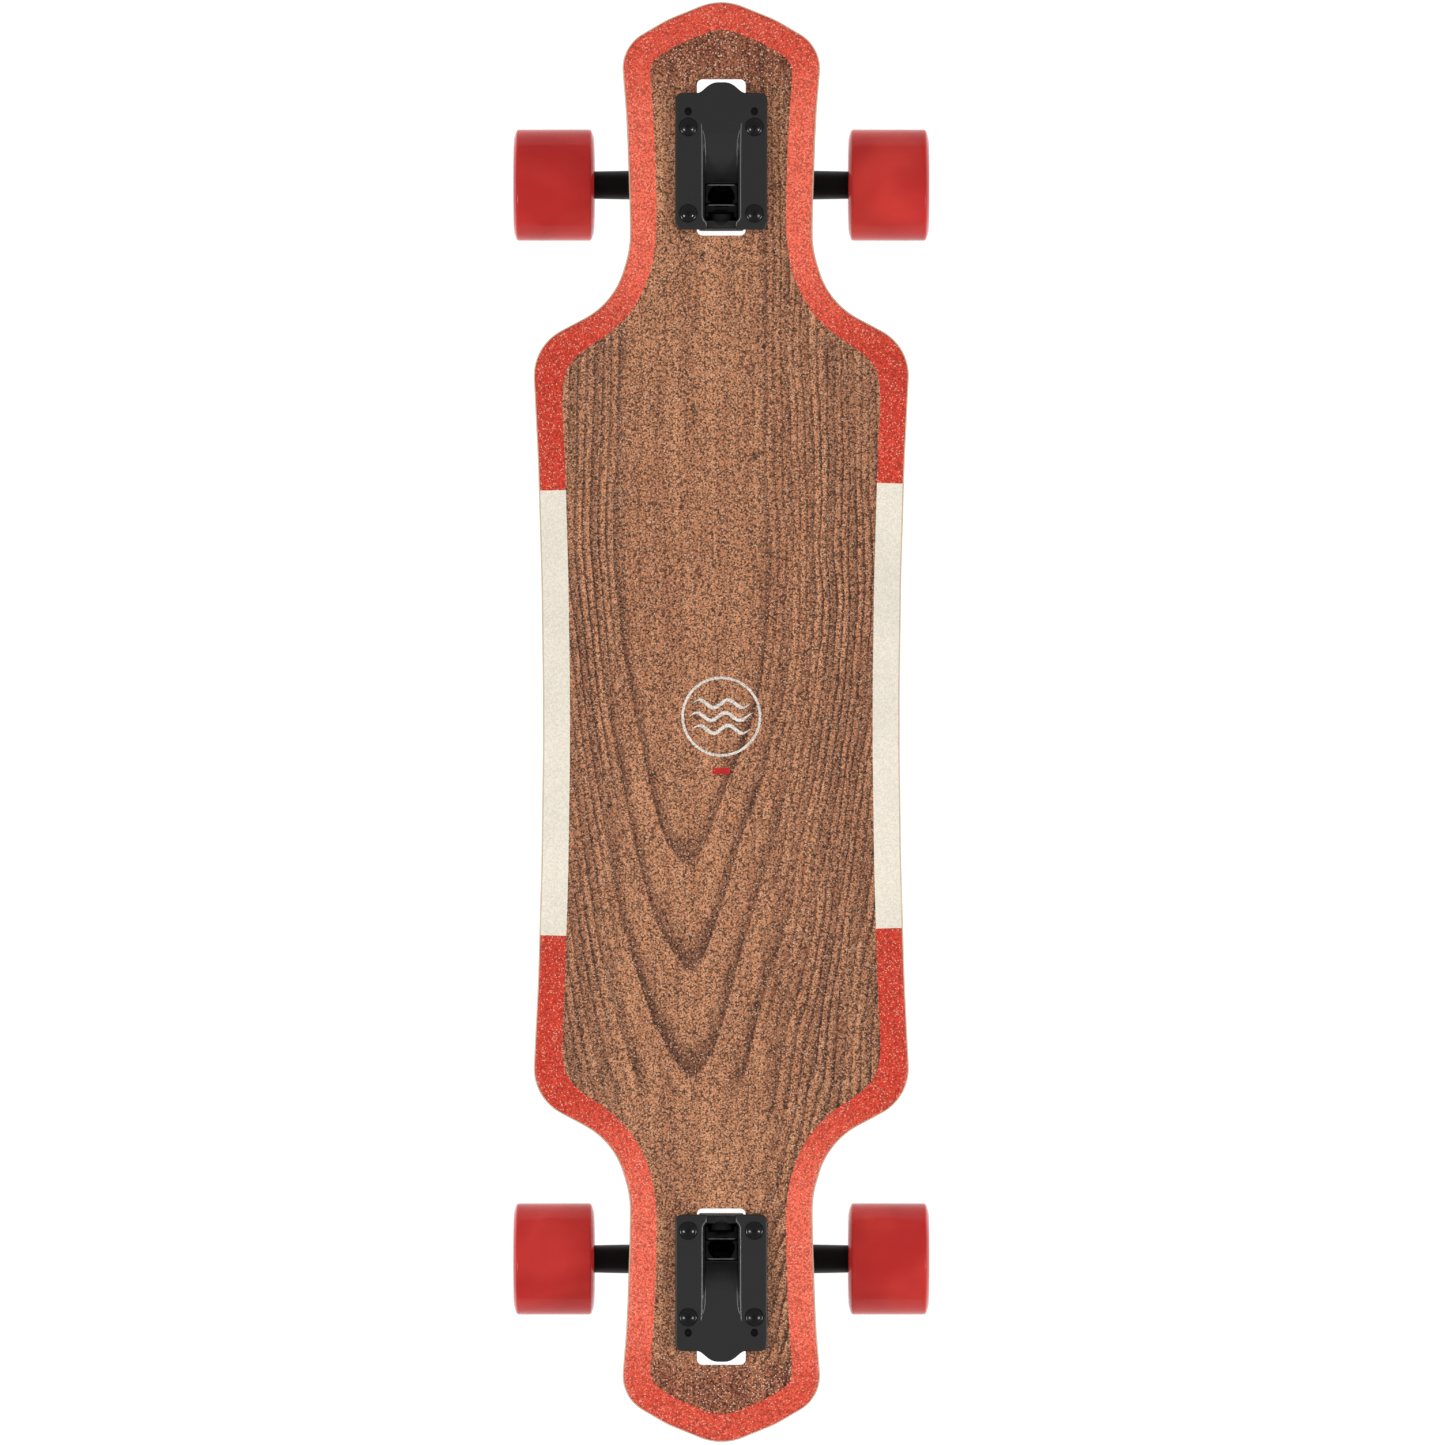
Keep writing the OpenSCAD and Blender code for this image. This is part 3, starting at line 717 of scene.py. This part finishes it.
studio = {
    "lamps": [   # place, size, watts, seen in reflections
        ((-1.75, -0.7, 1.4), 0.5, 20, True),
        ((1.75, -0.7, 1.4), 0.5, 20, True),
        ((0, 1.6, 2.2), 1.4, 16, False),
    ],
    "ambient": 0.37,
    "floor": srgb(150, 150, 150),
    "glow": 0.96,
}
for number, (place, size, watts, glossy) in enumerate(studio["lamps"]):
    lampData = bpy.data.lights.new(f"softbox{number}", "AREA")
    lampData.energy = watts
    lampData.size = size
    lamp = bpy.data.objects.new(f"softbox{number}", lampData)
    lamp.location = place
    lamp.visible_glossy = glossy
    lamp.rotation_mode = "QUATERNION"
    lamp.rotation_quaternion = (Vector((0, 0, 0.05)) - Vector(place)).to_track_quat("-Z", "Y")
    scene.collection.objects.link(lamp)
world = bpy.data.worlds.new("studio")
world.use_nodes = True
world.node_tree.nodes["Background"].inputs["Color"].default_value = (1, 1, 1, 1)
world.node_tree.nodes["Background"].inputs["Strength"].default_value = studio["ambient"]
scene.world = world
scene.view_settings.view_transform = "Standard"
scene.view_settings.look = "None"

floorShader = Shader("paperFloor")
floorShader.finish(colour=studio["floor"], roughness=0.9, specular=0.1, emission=(1, 1, 1),
                   emissionStrength=studio["glow"])
floorMesh = bmesh.new()
bmesh.ops.create_grid(floorMesh, x_segments=1, y_segments=1, size=6)
floor = meshPiece("floor", floorMesh, [floorShader.material])
floor.location.z = -0.2 * mm

board = buildDeck()
settle(board, "deck", "walnut_veneer", "grip_coat", "face_veneer", "maple_core", "base_veneer")
print("deck built:", len(board.data.polygons), "faces")


# printed marks: a plain ring with three waves, and a plain tag below it

marks = {"lift": 0.06 * mm, "ring": (25 * mm, 23.4 * mm), "middle": (0, 3.4 * mm),
         "waves": (-8 * mm, 0, 8 * mm), "waveWidth": 2.0 * mm, "waveRise": 2.4 * mm, "waveLength": 9 * mm,
         "tag": (11 * mm, 4 * mm), "tagPlace": (0, -30.6 * mm)}


def ribbon(mesh, middleLine, width):
    pairs = []
    for k, point in enumerate(middleLine):
        along = (middleLine[min(k + 1, len(middleLine) - 1)] - middleLine[max(k - 1, 0)]).normalized()
        across = Vector((-along.y, along.x)) * width(k / (len(middleLine) - 1)) / 2
        pairs.append([mesh.verts.new((*(point + sign * across), deckTop + marks["lift"]))
                      for sign in (1, -1)])
    for here, there in zip(pairs, pairs[1:]):
        band(mesh, here, there, closed=False)


def buildMarks():
    mesh = bmesh.new()
    middle = Vector(marks["middle"])
    outer, inner = marks["ring"]
    rim = [middle + Matrix.Rotation(2 * math.pi * k / 96, 2) @ Vector((0, (outer + inner) / 2))
           for k in range(97)]
    ribbon(mesh, rim, lambda t: outer - inner)
    for place in marks["waves"]:
        reach = math.sqrt((inner - 3.5 * mm) ** 2 - place ** 2)
        line = []
        for k in range(49):
            rise = marks["waveRise"] * math.sin(k / 48 * 2 * math.pi * reach / marks["waveLength"])
            line.append(middle + Vector((reach * (2 * k / 48 - 1), place + rise)))
        ribbon(mesh, line, lambda t: marks["waveWidth"] * min(1, 6 * t, 6 * (1 - t)) + 0.1 * mm)
    outside(mesh)
    badge = meshPiece("deckBadge", mesh, [palePrint])
    mesh = bmesh.new()
    width, height = marks["tag"]
    loop = roundCorners([(width / 2, height / 2, 0.6 * mm), (width / 2, -height / 2, 0.6 * mm),
                         (-width / 2, -height / 2, 0.6 * mm), (-width / 2, height / 2, 0.6 * mm)], 30)
    mesh.faces.new([mesh.verts.new((*(p + Vector(marks["tagPlace"])), deckTop + marks["lift"]))
                    for p in loop])
    outside(mesh)
    return badge, meshPiece("deckTag", mesh, [tagPrint])


for mark in buildMarks():
    for polygon in mark.data.polygons:
        if polygon.normal.z < 0:
            polygon.flip()
    settle(mark, "deck", "clear_grip")
print("marks printed")


# wheels

wheel = {"radius": 35 * mm, "inner": 79.5 * mm, "outer": 130.5 * mm, "coreRadius": 21 * mm,
         "lip": 1.9 * mm, "lipDrop": 2.3 * mm, "shoulderRadius": 30 * mm, "faceDrop": 0.25 * mm,
         "dish": 5 * mm, "seat": 11 * mm, "shoulder": 9 * mm, "steps": 128,
         "bearings": ((91 * mm, 98 * mm), (108 * mm, 115 * mm))}


def buildWheel(end, side):
    inner, outer, core = wheel["inner"], wheel["outer"], wheel["coreRadius"]
    (first, firstEnd), (second, secondEnd) = wheel["bearings"]
    # radius, depth below the side face, fillet
    half = [
        (core, wheel["dish"], 0.4 * mm),
        (core + 2 * mm, 3.2 * mm, 1.2 * mm),
        (core + 4.2 * mm, 0.05 * mm, 2.5 * mm),
        (wheel["shoulderRadius"], wheel["faceDrop"], 14 * mm),
        (wheel["radius"], wheel["lipDrop"], wheel["lip"]),
    ]
    tyreCorners = [(radius, inner + depth, fillet) for radius, depth, fillet in half]
    tyreCorners += [(radius, outer - depth, fillet) for radius, depth, fillet in reversed(half)]
    coreCorners = [
        (core + 0.1 * mm, inner + wheel["dish"] + 0.3 * mm, 0.5 * mm),
        (core + 0.1 * mm, outer - wheel["dish"] - 0.3 * mm, 0.5 * mm),
        (core - 4 * mm, outer - wheel["dish"], 1.5 * mm),
        (wheel["seat"] + 2 * mm, secondEnd + 2 * mm, 0.7 * mm),
        (wheel["seat"], secondEnd + 2 * mm, 0.6 * mm),
        (wheel["seat"], second, 0),
        (wheel["shoulder"], second, 0),
        (wheel["shoulder"], firstEnd, 0),
        (wheel["seat"], firstEnd, 0),
        (wheel["seat"], first - 1 * mm, 0.6 * mm),
        (wheel["seat"] + 2 * mm, first - 1 * mm, 0.7 * mm),
        (core - 4 * mm, inner + wheel["dish"], 1.5 * mm),
    ]
    sign = 1 if side == "right" else -1
    lengthways = 1 if end == "nose" else -1
    body = f"{end}_{side}_wheel"
    for part, corners, finish, slot, node in (
            ("Tyre", tyreCorners, wheelRed, "wheel_urethane", "tyre"),
            ("Core", coreCorners, coreRed, "wheel_core", "core")):
        mesh = lathe(roundCorners(corners, 9), wheel["steps"])
        mirror = Matrix.Diagonal((sign, 1, 1, 1))
        shift = Matrix.Translation((0, lengthways * axleMiddle.y, axleMiddle.z))
        moved(mesh, shift @ mirror)
        outside(mesh)
        piece = meshPiece(f"{end}{side.title()}{part}", mesh, [finish])
        shadeSmooth(piece, 40)
        settle(piece, body, slot, f"{end}_{side}_{node}")


for end in ends:
    for side in sides:
        buildWheel(end, side)
print("wheels turned")

# trucks: y runs outward from the axle and z up from it, and the tail truck is the nose truck turned round

atNose = Matrix.Translation(axleMiddle)
atTail = Matrix.Rotation(math.pi, 4, "Z") @ atNose
truckPlace = {"nose": atNose, "tail": atTail}
ringPlace = Matrix.Translation(ringMiddle - axleMiddle) @ Matrix.Rotation(steerAngle, 4, "X")
mountHeight = plateHigh.z - axleMiddle.z

plate = {
    "halfWidth": 28.8 * mm, "inner": -29.5 * mm, "outer": 55.8 * mm, "corner": 4.5 * mm,
    "wallHalf": 12.8 * mm,   # columns of the grid keep their place out to here, and follow the edge beyond
    "tongueHalf": 15 * mm, "tongueReach": 6.7 * mm, "tongueFullness": 0.64, "thickness": 6 * mm,
    "edge": 1.1 * mm, "grain": 0.8 * mm, "spareStretch": 1.12, "spareDeep": 5.6 * mm, "seatDeep": 0.8 * mm,
    # radius, then from and to along the axis
    "seatBar": (14.3 * mm, 20.3 * mm, 27 * mm), "kingpinBore": (4.8 * mm, 10 * mm, 60 * mm),
    "housingBar": (9.6 * mm, -56.6 * mm, -46.2 * mm), "cupBore": (8.25 * mm, -54.2 * mm, -40 * mm),
    "pocket": (-24 * mm, 30 * mm), "pocketDeep": 21.5 * mm, "pocketHalf": 10.6 * mm,
    "seatPoint": (14, 20), "housing": (-56, -47, 9.4),   # along and above the steering axis, in mm
    "channelTop": 12.1 * mm, "channelFloor": 9.7 * mm, "spareHole": (44.2 * mm, 2.3 * mm),
    "bodyHalf": 14.3 * mm, "neckFrom": -21.5 * mm, "neckStep": 2.8 * mm,
    "bossFrom": -17.5 * mm, "bossHalf": 6.9 * mm, "bossRise": 9 * mm,
    "ribs": ((-1.5 * mm, 10.4 * mm), (-14 * mm, 13.5 * mm)), "ribHalf": 8.7 * mm, "ribRadius": 0.5 * mm,
    "boltSeat": 5.9 * mm, "castRing": (17.8 * mm, -8.2 * mm, 3.1 * mm, 0.3 * mm),
}
# lips of the channel: half width and place outward from the axle
outerLip = [(12.9, 39), (12.5, 36), (12.2, 31), (12.1, 24), (12.0, 10), (12.0, -21.5), (11.2, -23.5),
            (9.6, -25.3), (9.3, -28.6)]
innerLip = [(12.1, 35), (11.5, 32.4), (10.7, 29.6), (10.1, 26), (9.9, 21), (9.8, 15)]
# depth of the channel's floor at places outward from the axle
channelFloor = [(30, 0), (24, 0.5), (18, 1.9), (12, 4.2), (6, 7.4), (0.6, 11.2), (-0.3, 10.9), (-1.4, 14.5),
                (-6, 15.4), (-11.8, 16.2), (-12.8, 15.8), (-13.9, 20), (-19, 21), (-29.5, 21)]


def curve(stops, value):
    stops = sorted(stops)
    if value <= stops[0][0]:
        return stops[0][1]
    for (a, low), (b, high) in zip(stops, stops[1:]):
        if value <= b:
            t = (value - a) / (b - a)
            return low + (high - low) * t
    return stops[-1][1]


def smooth(t):
    t = max(0, min(1, t))
    return t * t * (3 - 2 * t)


def plateHalfWidth(u):
    corner, half = plate["corner"], plate["halfWidth"]
    if u > plate["outer"]:
        t = math.acos(max(-1, min(1, 2 * (u - plate["outer"]) / plate["tongueReach"] - 1))) / math.pi
        return max(plate["tongueHalf"] * t ** plate["tongueFullness"], 0.05 * mm)
    edge = min(u - plate["inner"], plate["outer"] - u)
    if edge < corner:
        return half - corner + math.sqrt(max(0, corner ** 2 - (corner - edge) ** 2))
    return half


def rimOf(rows):
    back = [row[-1] for row in reversed(rows[:-1])]
    return [row[0] for row in rows] + rows[-1][1:] + back + list(reversed(rows[0][1:-1]))


def buildPlateTop():
    inner, outer = plate["inner"], plate["outer"]
    finePlaces = [0, 0.12, 0.35, 0.7, 1.1, 1.6, 2.2, 3, 3.8, 4.5]
    us = [inner + d * mm for d in finePlaces] + [outer - d * mm for d in finePlaces]
    us += [value * mm for value, _ in channelFloor if inner < value * mm < outer]
    us += [inner + 5 * mm + k * 1.6 * mm for k in range(48)]
    us += [outer + plate["tongueReach"] * (1 + math.cos(math.pi * k / 22)) / 2 for k in range(22)]
    us = sorted(set(round(u, 6) for u in us if inner <= u <= outer + plate["tongueReach"]))
    us = [u for k, u in enumerate(us) if k == 0 or u - us[k - 1] > 0.05 * mm]
    xs = [0, 3, 6, 8.2, 9.2, 9.7, 10.0, 10.3, 10.7, 11.1, 11.5, 11.8, 12.1, 12.8, 14.3, 17, 20, 23, 25.5]
    wallHalf, wide = plate["wallHalf"], plate["halfWidth"]
    fractions = [x * mm / wide for x in xs] + [1 - d * mm / wide for d in (2, 1.1, 0.7, 0.35, 0.12, 0)]
    outline = [Vector((plateHalfWidth(u), u)) for u in us]
    outline = [Vector((0, inner))] + outline + [Vector((0, us[-1]))]

    def edgeDistance(x, u):
        point, least = Vector((x, u)), 1
        for a, b in zip(outline, outline[1:]):
            along = b - a
            if along.length_squared == 0:
                continue
            t = max(0, min(1, (point - a).dot(along) / along.length_squared))
            least = min(least, (a + along * t - point).length)
        return least

    def topHeight(x, u):
        edge = plate["edge"]
        gap = max(0, edge - edgeDistance(x, u))
        rounding = edge - math.sqrt(max(0, edge * edge - gap * gap))
        depth = curve(channelFloor, u / mm) * mm
        narrow = smooth((plate["neckFrom"] - u) / (3 * mm)) * plate["neckStep"]
        wall = smooth((plate["channelTop"] - narrow - x) / (plate["channelTop"] - plate["channelFloor"]))
        boss = smooth((plate["bossFrom"] - u) / (2.5 * mm)) * smooth((plate["bossHalf"] - x) / (1.2 * mm))
        return mountHeight - rounding - (depth - boss * plate["bossRise"]) * wall

    mesh = bmesh.new()
    top, bottom = [], []
    for u in us:
        half = plateHalfWidth(u)
        keep = wallHalf / wide
        rowTop, rowBottom = [], []
        for fraction in fractions:
            if half >= 16.5 * mm:
                spread = wallHalf + (half - wallHalf) * (fraction - keep) / (1 - keep)
                x = fraction * wide if fraction <= keep else spread
            else:
                x = fraction * half
            z = topHeight(x, u)
            low = min(mountHeight - plate["thickness"], z - 2.5 * mm)
            rowTop.append((x, z))
            rowBottom.append((x, low))
        top.append((u, rowTop))
        bottom.append((u, rowBottom))

    def skin(rows):
        grid = []
        for u, row in rows:
            right = [mesh.verts.new((x, u, z)) for x, z in row]
            left = [right[0]] + [mesh.verts.new((-x, u, z)) for x, z in row[1:]]
            grid.append(list(reversed(left)) + right[1:])
        for here, there in zip(grid, grid[1:]):
            band(mesh, here, there, closed=False)
        return grid

    upper, lower = skin(top), skin(bottom)
    band(mesh, rimOf(upper), rimOf(lower))
    return outside(mesh)


def onRing(y, z):
    point = ringPlace @ Vector((0, y * mm, z * mm))
    return point.y, point.z


def roundBar(radius, low, high, fillet, steps=40):
    corners = [(0, low, 0), (radius, low, fillet), (radius, high, fillet), (0, high, 0)]
    return lathe(roundCorners(corners, 15), steps, closed=False)


alongRingY = Matrix.Rotation(math.pi / 2, 4, "Z")      # x axis to the steering axis
alongRingZ = Matrix.Rotation(-math.pi / 2, 4, "Y")     # x axis to the kingpin's axis


def kingpinBar(radius, low, high, fillet=0, steps=40):
    return moved(roundBar(radius, low, high, fillet, steps), ringPlace @ alongRingZ)


def steerBar(radius, low, high, fillet=0):
    return moved(roundBar(radius, low, high, fillet), ringPlace @ alongRingY)


def buildPlateBody():
    # kingpin seat and pivot housing, cast in one with the flange
    under = mountHeight - plate["thickness"] + 1 * mm
    seatFrom, seatHeight = plate["seatPoint"]
    housingEnd, mouth, housingHeight = plate["housing"]
    seatY, seatZ = onRing(seatFrom, seatHeight)
    outline = [
        (plate["inner"] + 1.2 * mm, under, 0),
        (plate["inner"] - 0.6 * mm, under - 9 * mm, 2 * mm),
        (plate["inner"] + 0.2 * mm, 14 * mm, 6 * mm),
        (*onRing(housingEnd, housingHeight), 3 * mm),
        (*onRing(mouth, housingHeight), 1 * mm),
        (*onRing(-seatFrom, seatHeight), 3 * mm),
        (seatY, seatZ, 1 * mm),
        (seatY + (under - seatZ) / math.tan(steerAngle), under, 0),
    ]
    half = plate["bodyHalf"] - 0.2 * mm
    parts = [sideways(prism(roundCorners(outline, 12), -half, half))]
    parts.append(kingpinBar(*plate["seatBar"], 0.6 * mm))
    parts.append(steerBar(*plate["housingBar"], 1.2 * mm))
    body = meshPiece("plateBody", together(parts), [blackCasting])
    cast(body, plate["grain"], 4)
    floorLine = [(u * mm, mountHeight - (depth + 0.5) * mm) for u, depth in channelFloor if u > -25]
    low, high, half = *plate["pocket"], plate["pocketHalf"]
    above = mountHeight + 5 * mm
    corners = floorLine + [(low, mountHeight - plate["pocketDeep"]), (low, above), (high, above)]
    carve(body, [sideways(prism([Vector(p) for p in corners], -half, half))])
    carve(body, [kingpinBar(*plate["kingpinBore"])])
    carve(body, [steerBar(*plate["cupBore"])])
    shadeSmooth(body, 50)
    return body


def buildTube(path, radii, steps=8):
    # a thin rounded line through the path's points, with its own radius at each
    mesh = bmesh.new()
    rings = []
    for k, point in enumerate(path):
        along = (path[min(k + 1, len(path) - 1)] - path[max(k - 1, 0)]).normalized()
        sideway = along.cross(Vector((0, 0, 1))).normalized()
        upward = sideway.cross(along)
        ring = []
        for j in range(steps):
            angle = 2 * math.pi * j / steps
            spoke = sideway * math.cos(angle) + upward * math.sin(angle)
            ring.append(mesh.verts.new(point + spoke * radii[k]))
        rings.append(ring)
    for here, there in zip(rings, rings[1:]):
        band(mesh, here, there)
    mesh.faces.new(list(reversed(rings[0])))
    mesh.faces.new(rings[-1])
    return outside(mesh)


def buildPlateLines():
    # cast lips and ribs, finished in light grey as a painted highlight along them
    parts = []
    for side in (-1, 1):
        for line, radius, sink in ((outerLip, 0.42 * mm, 0.22 * mm), (innerLip, 0.3 * mm, 0.2 * mm)):
            path = []
            for (x, u), (nextX, nextU) in zip(line, line[1:]):
                path += [(x + (nextX - x) * k / 4, u + (nextU - u) * k / 4) for k in range(4)]
            path.append(line[-1])
            points, radii = [], []
            for k, (x, u) in enumerate(path):
                drop = 0 if line is outerLip else curve(channelFloor, u) * 0.6 * mm
                points.append(Vector((side * x * mm, u * mm, mountHeight - sink - drop)))
                radii.append(radius * max(0.08, min(1, k / 5, (len(path) - 1 - k) / 3)))
            parts.append(buildTube(points, radii))
    for place, depth in plate["ribs"]:
        half, radius = plate["ribHalf"], plate["ribRadius"]
        points = [Vector((half * (k / 12 - 1), place, mountHeight - depth)) for k in range(25)]
        radii = [radius * math.sqrt(max(0.02, 1 - (k / 12 - 1) ** 8)) for k in range(25)]
        parts.append(buildTube(points, radii, 12))
    ringX, ringU, ringRadius, ringWidth = plate["castRing"]
    for side in (-1, 1):
        loop = circle(side * ringX, ringU, ringRadius, 32)
        loop = [Vector((*p, mountHeight)) for p in loop + loop[:1]]
        part = moved(buildTube(loop, [ringWidth / 2] * 33, 6), Matrix.Translation((0, 0, -0.1 * mm)))
        for face in part.faces:
            face.material_index = 1
        parts.append(part)
    return together(parts)


def copyToEnds(sources, body, node):
    for end in ends:
        for source, label in sources:
            piece = bpy.data.objects.new(f"{end}{label}", source.data.copy())
            piece.data.transform(truckPlace[end])
            scene.collection.objects.link(piece)
            settle(piece, body.format(end), "black_casting", f"{end}_{node}")
    for source, label in sources:
        bpy.data.objects.remove(source)


def buildPlates():
    mesh = buildPlateTop()
    flange = meshPiece("plateFlange", mesh, [blackCasting])
    lines = meshPiece("plateLines", buildPlateLines(), [ribBlack, blackCasting])
    shadeSmooth(lines, 60)
    place, radius = plate["spareHole"]
    holes = []
    for side in (-1, 1):
        loop = circle(side * boltX, place, radius, 24, plate["spareStretch"])
        holes.append(prism(loop, mountHeight - plate["spareDeep"], mountHeight + 5 * mm))
    for side in (-1, 1):
        for boltPlace in boltPlaces:
            loop = circle(side * boltX, boltPlace, plate["boltSeat"], 40)
            holes.append(prism(loop, mountHeight - plate["seatDeep"], mountHeight + 5 * mm))
    carve(flange, holes)
    shadeSmooth(flange, 32)
    sources = ((flange, "Flange"), (buildPlateBody(), "PlateBody"), (lines, "PlateLines"))
    copyToEnds(sources, "deck", "baseplate")


buildPlates()
print("baseplates cast")


# bolts: domed heads with a cross recess

bolt = {"head": 5.3 * mm, "height": 2.75 * mm, "shank": 2.4 * mm, "length": 28 * mm,
        "crossLong": 2.9 * mm, "crossWide": 0.8 * mm, "crossDeep": 1.7 * mm, "crossTaper": 0.55,
        "crossTurn": 0.5, "turnEach": 0.9}


def buildBolt():
    head, height, shank, length = bolt["head"], bolt["height"], bolt["shank"], bolt["length"]
    dome = (head ** 2 + height ** 2) / (2 * height)
    profile = [(0, height)]
    for k in range(1, 13):
        x = head * k / 12
        profile.append((x, height - dome + math.sqrt(dome ** 2 - x ** 2)))
    profile[-1] = (head - 0.05 * mm, 0.45 * mm)
    profile += [(head, 0.25 * mm), (head - 0.1 * mm, 0), (shank, 0), (shank, -length + 0.6 * mm),
                (shank - 0.5 * mm, -length), (0, -length)]
    single = moved(lathe(profile, 40, closed=False), alongRingZ)
    piece = meshPiece("bolt", single, [boltBlack])
    for turn in (0, math.pi / 2):
        arm = bmesh.new()
        bmesh.ops.create_cube(arm, size=1)
        for v in arm.verts:
            taper = bolt["crossTaper"] if v.co.z < 0 else 1
            v.co = Vector((v.co.x * bolt["crossLong"] * taper, v.co.y * bolt["crossWide"],
                           (v.co.z - 0.5) * bolt["crossDeep"] + (0.5 + v.co.z) * 1 * mm))
        turned = Matrix.Translation((0, 0, height)) @ Matrix.Rotation(turn + bolt["crossTurn"], 4, "Z")
        carve(piece, [outside(moved(arm, turned))])
    return piece


def buildBolts(end, single):
    whole = bmesh.new()
    for number, (side, place) in enumerate((s, p) for s in (-1, 1) for p in boltPlaces):
        data = single.data.copy()
        spin = Matrix.Rotation(bolt["turnEach"] * number, 4, "Z")
        data.transform(truckPlace[end] @ Matrix.Translation((side * boltX, place, mountHeight)) @ spin)
        whole.from_mesh(data)
        bpy.data.meshes.remove(data)
    piece = meshPiece(f"{end}Bolts", whole, [boltBlack])
    shadeSmooth(piece, 35)
    settle(piece, "deck", "black_steel", f"{end}_mounting_bolts")


oneBolt = buildBolt()
for end in ends:
    buildBolts(end, oneBolt)
bpy.data.objects.remove(oneBolt)
print("bolts in")


# hangers: one casting of ring, wings, axle bar and pivot

hangerSize = {"ring": 16.5 * mm, "ringHalf": 5 * mm, "bar": 8.5 * mm, "barDeck": 9.3 * mm, "middle": 11 * mm,
              "end": 90 * mm, "narrowAt": 46 * mm, "wideAt": 26 * mm, "pivot": 6 * mm, "bore": 6.75 * mm,
              "seat": 12.3 * mm, "seatCut": (2 * mm, 22 * mm), "grain": 0.8 * mm,
              "pivotBar": (-47.9 * mm, -30 * mm), "pivotEnd": -48 * mm, "wingDepth": (-5 * mm, 3 * mm),
              "wings": ((14, 4, 0), (33, -29, 5), (33, -34, 0))}   # half width, outward, fillet, in mm


def buildHangers():
    size = hangerSize
    stop = size["end"]
    solid = [(0, -stop), (size["bar"] - 1 * mm, -stop), (size["bar"], -stop + 1 * mm),
             (size["barDeck"], -size["narrowAt"]), (size["middle"], -size["wideAt"])]
    solid += [(radius, -along) for radius, along in reversed(solid)]
    parts = [lathe(solid, 48, closed=False)]
    parts.append(kingpinBar(size["ring"], -size["ringHalf"], size["ringHalf"], 1.5 * mm, 64))
    right = [(x * mm, y * mm, fillet * mm) for x, y, fillet in size["wings"]]
    left = [(-x, y, fillet) for x, y, fillet in reversed(right)]
    wings = roundCorners(left[-1:] + right + left[:-1], 15)
    parts.append(moved(prism(wings, *size["wingDepth"]), ringPlace))
    parts.append(steerBar(size["pivot"], *size["pivotBar"]))
    ball = bmesh.new()
    bmesh.ops.create_uvsphere(ball, u_segments=32, v_segments=16, radius=size["pivot"])
    parts.append(moved(ball, ringPlace @ Matrix.Translation((0, size["pivotEnd"], 0))))
    casting = meshPiece("hanger", together(parts), [blackArm])
    cast(casting, size["grain"], 4)
    carve(casting, [kingpinBar(size["bore"], -20 * mm, 20 * mm)])
    low, high = size["seatCut"]
    carve(casting, [kingpinBar(size["seat"], low, high)])
    carve(casting, [kingpinBar(size["seat"], -high, -low)])
    shadeSmooth(casting, 50)
    copyToEnds([(casting, "Hanger")], "{}_truck_hanger", "hanger")


buildHangers()
print("hangers cast")


# bushings: one barrel above the ring, one cone below it

bushing = {"radius": 12 * mm, "bore": 5 * mm, "height": 17 * mm, "from": 2 * mm}


def buildBushings(end):
    size = bushing
    for label, sign, waist in (("Upper", 1, 0), ("Lower", -1, 2.2 * mm)):
        start = size["from"]
        corners = [
            (size["bore"], start, 0.3 * mm),
            (size["radius"] - 0.2 * mm, start, 0.8 * mm),
            (size["radius"], start + size["height"] * 0.45, 9 * mm),
            (size["radius"] - 0.4 * mm - waist, start + size["height"], 1.2 * mm),
            (size["bore"], start + size["height"], 0.3 * mm),
        ]
        mesh = lathe([(p[0], p[1] * sign) for p in roundCorners(corners, 10)], 56)
        moved(mesh, truckPlace[end] @ ringPlace @ alongRingZ)
        outside(mesh)
        piece = meshPiece(f"{end}{label}Bushing", mesh, [bushingRed])
        shadeSmooth(piece, 40)
        settle(piece, "deck", "bushing_urethane", f"{end}_{label.lower()}_bushing")


for end in ends:
    buildBushings(end)
print("bushings in")

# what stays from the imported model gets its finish
carried = {
    "pivot_cup": rubberBlack, "kingpin": kingpinBlack, "kingpin_nut": zincSteel, "cup_washers": zincSteel,
    "mounting_nuts": zincSteel, "axle": brightSteel, "axle_nuts": zincSteel, "speed_washers": zincSteel,
    "bearing_spacers": brightSteel, "inner_races": brightSteel, "outer_races": brightSteel,
    "balls": brightSteel, "shields": rubberBlack,
}
for name, node in frame["nodes"].items():
    for part, finish in carried.items():
        if name.endswith("_" + part):
            node.data.materials.clear()
            node.data.materials.append(finish)
print("carried pieces finished")
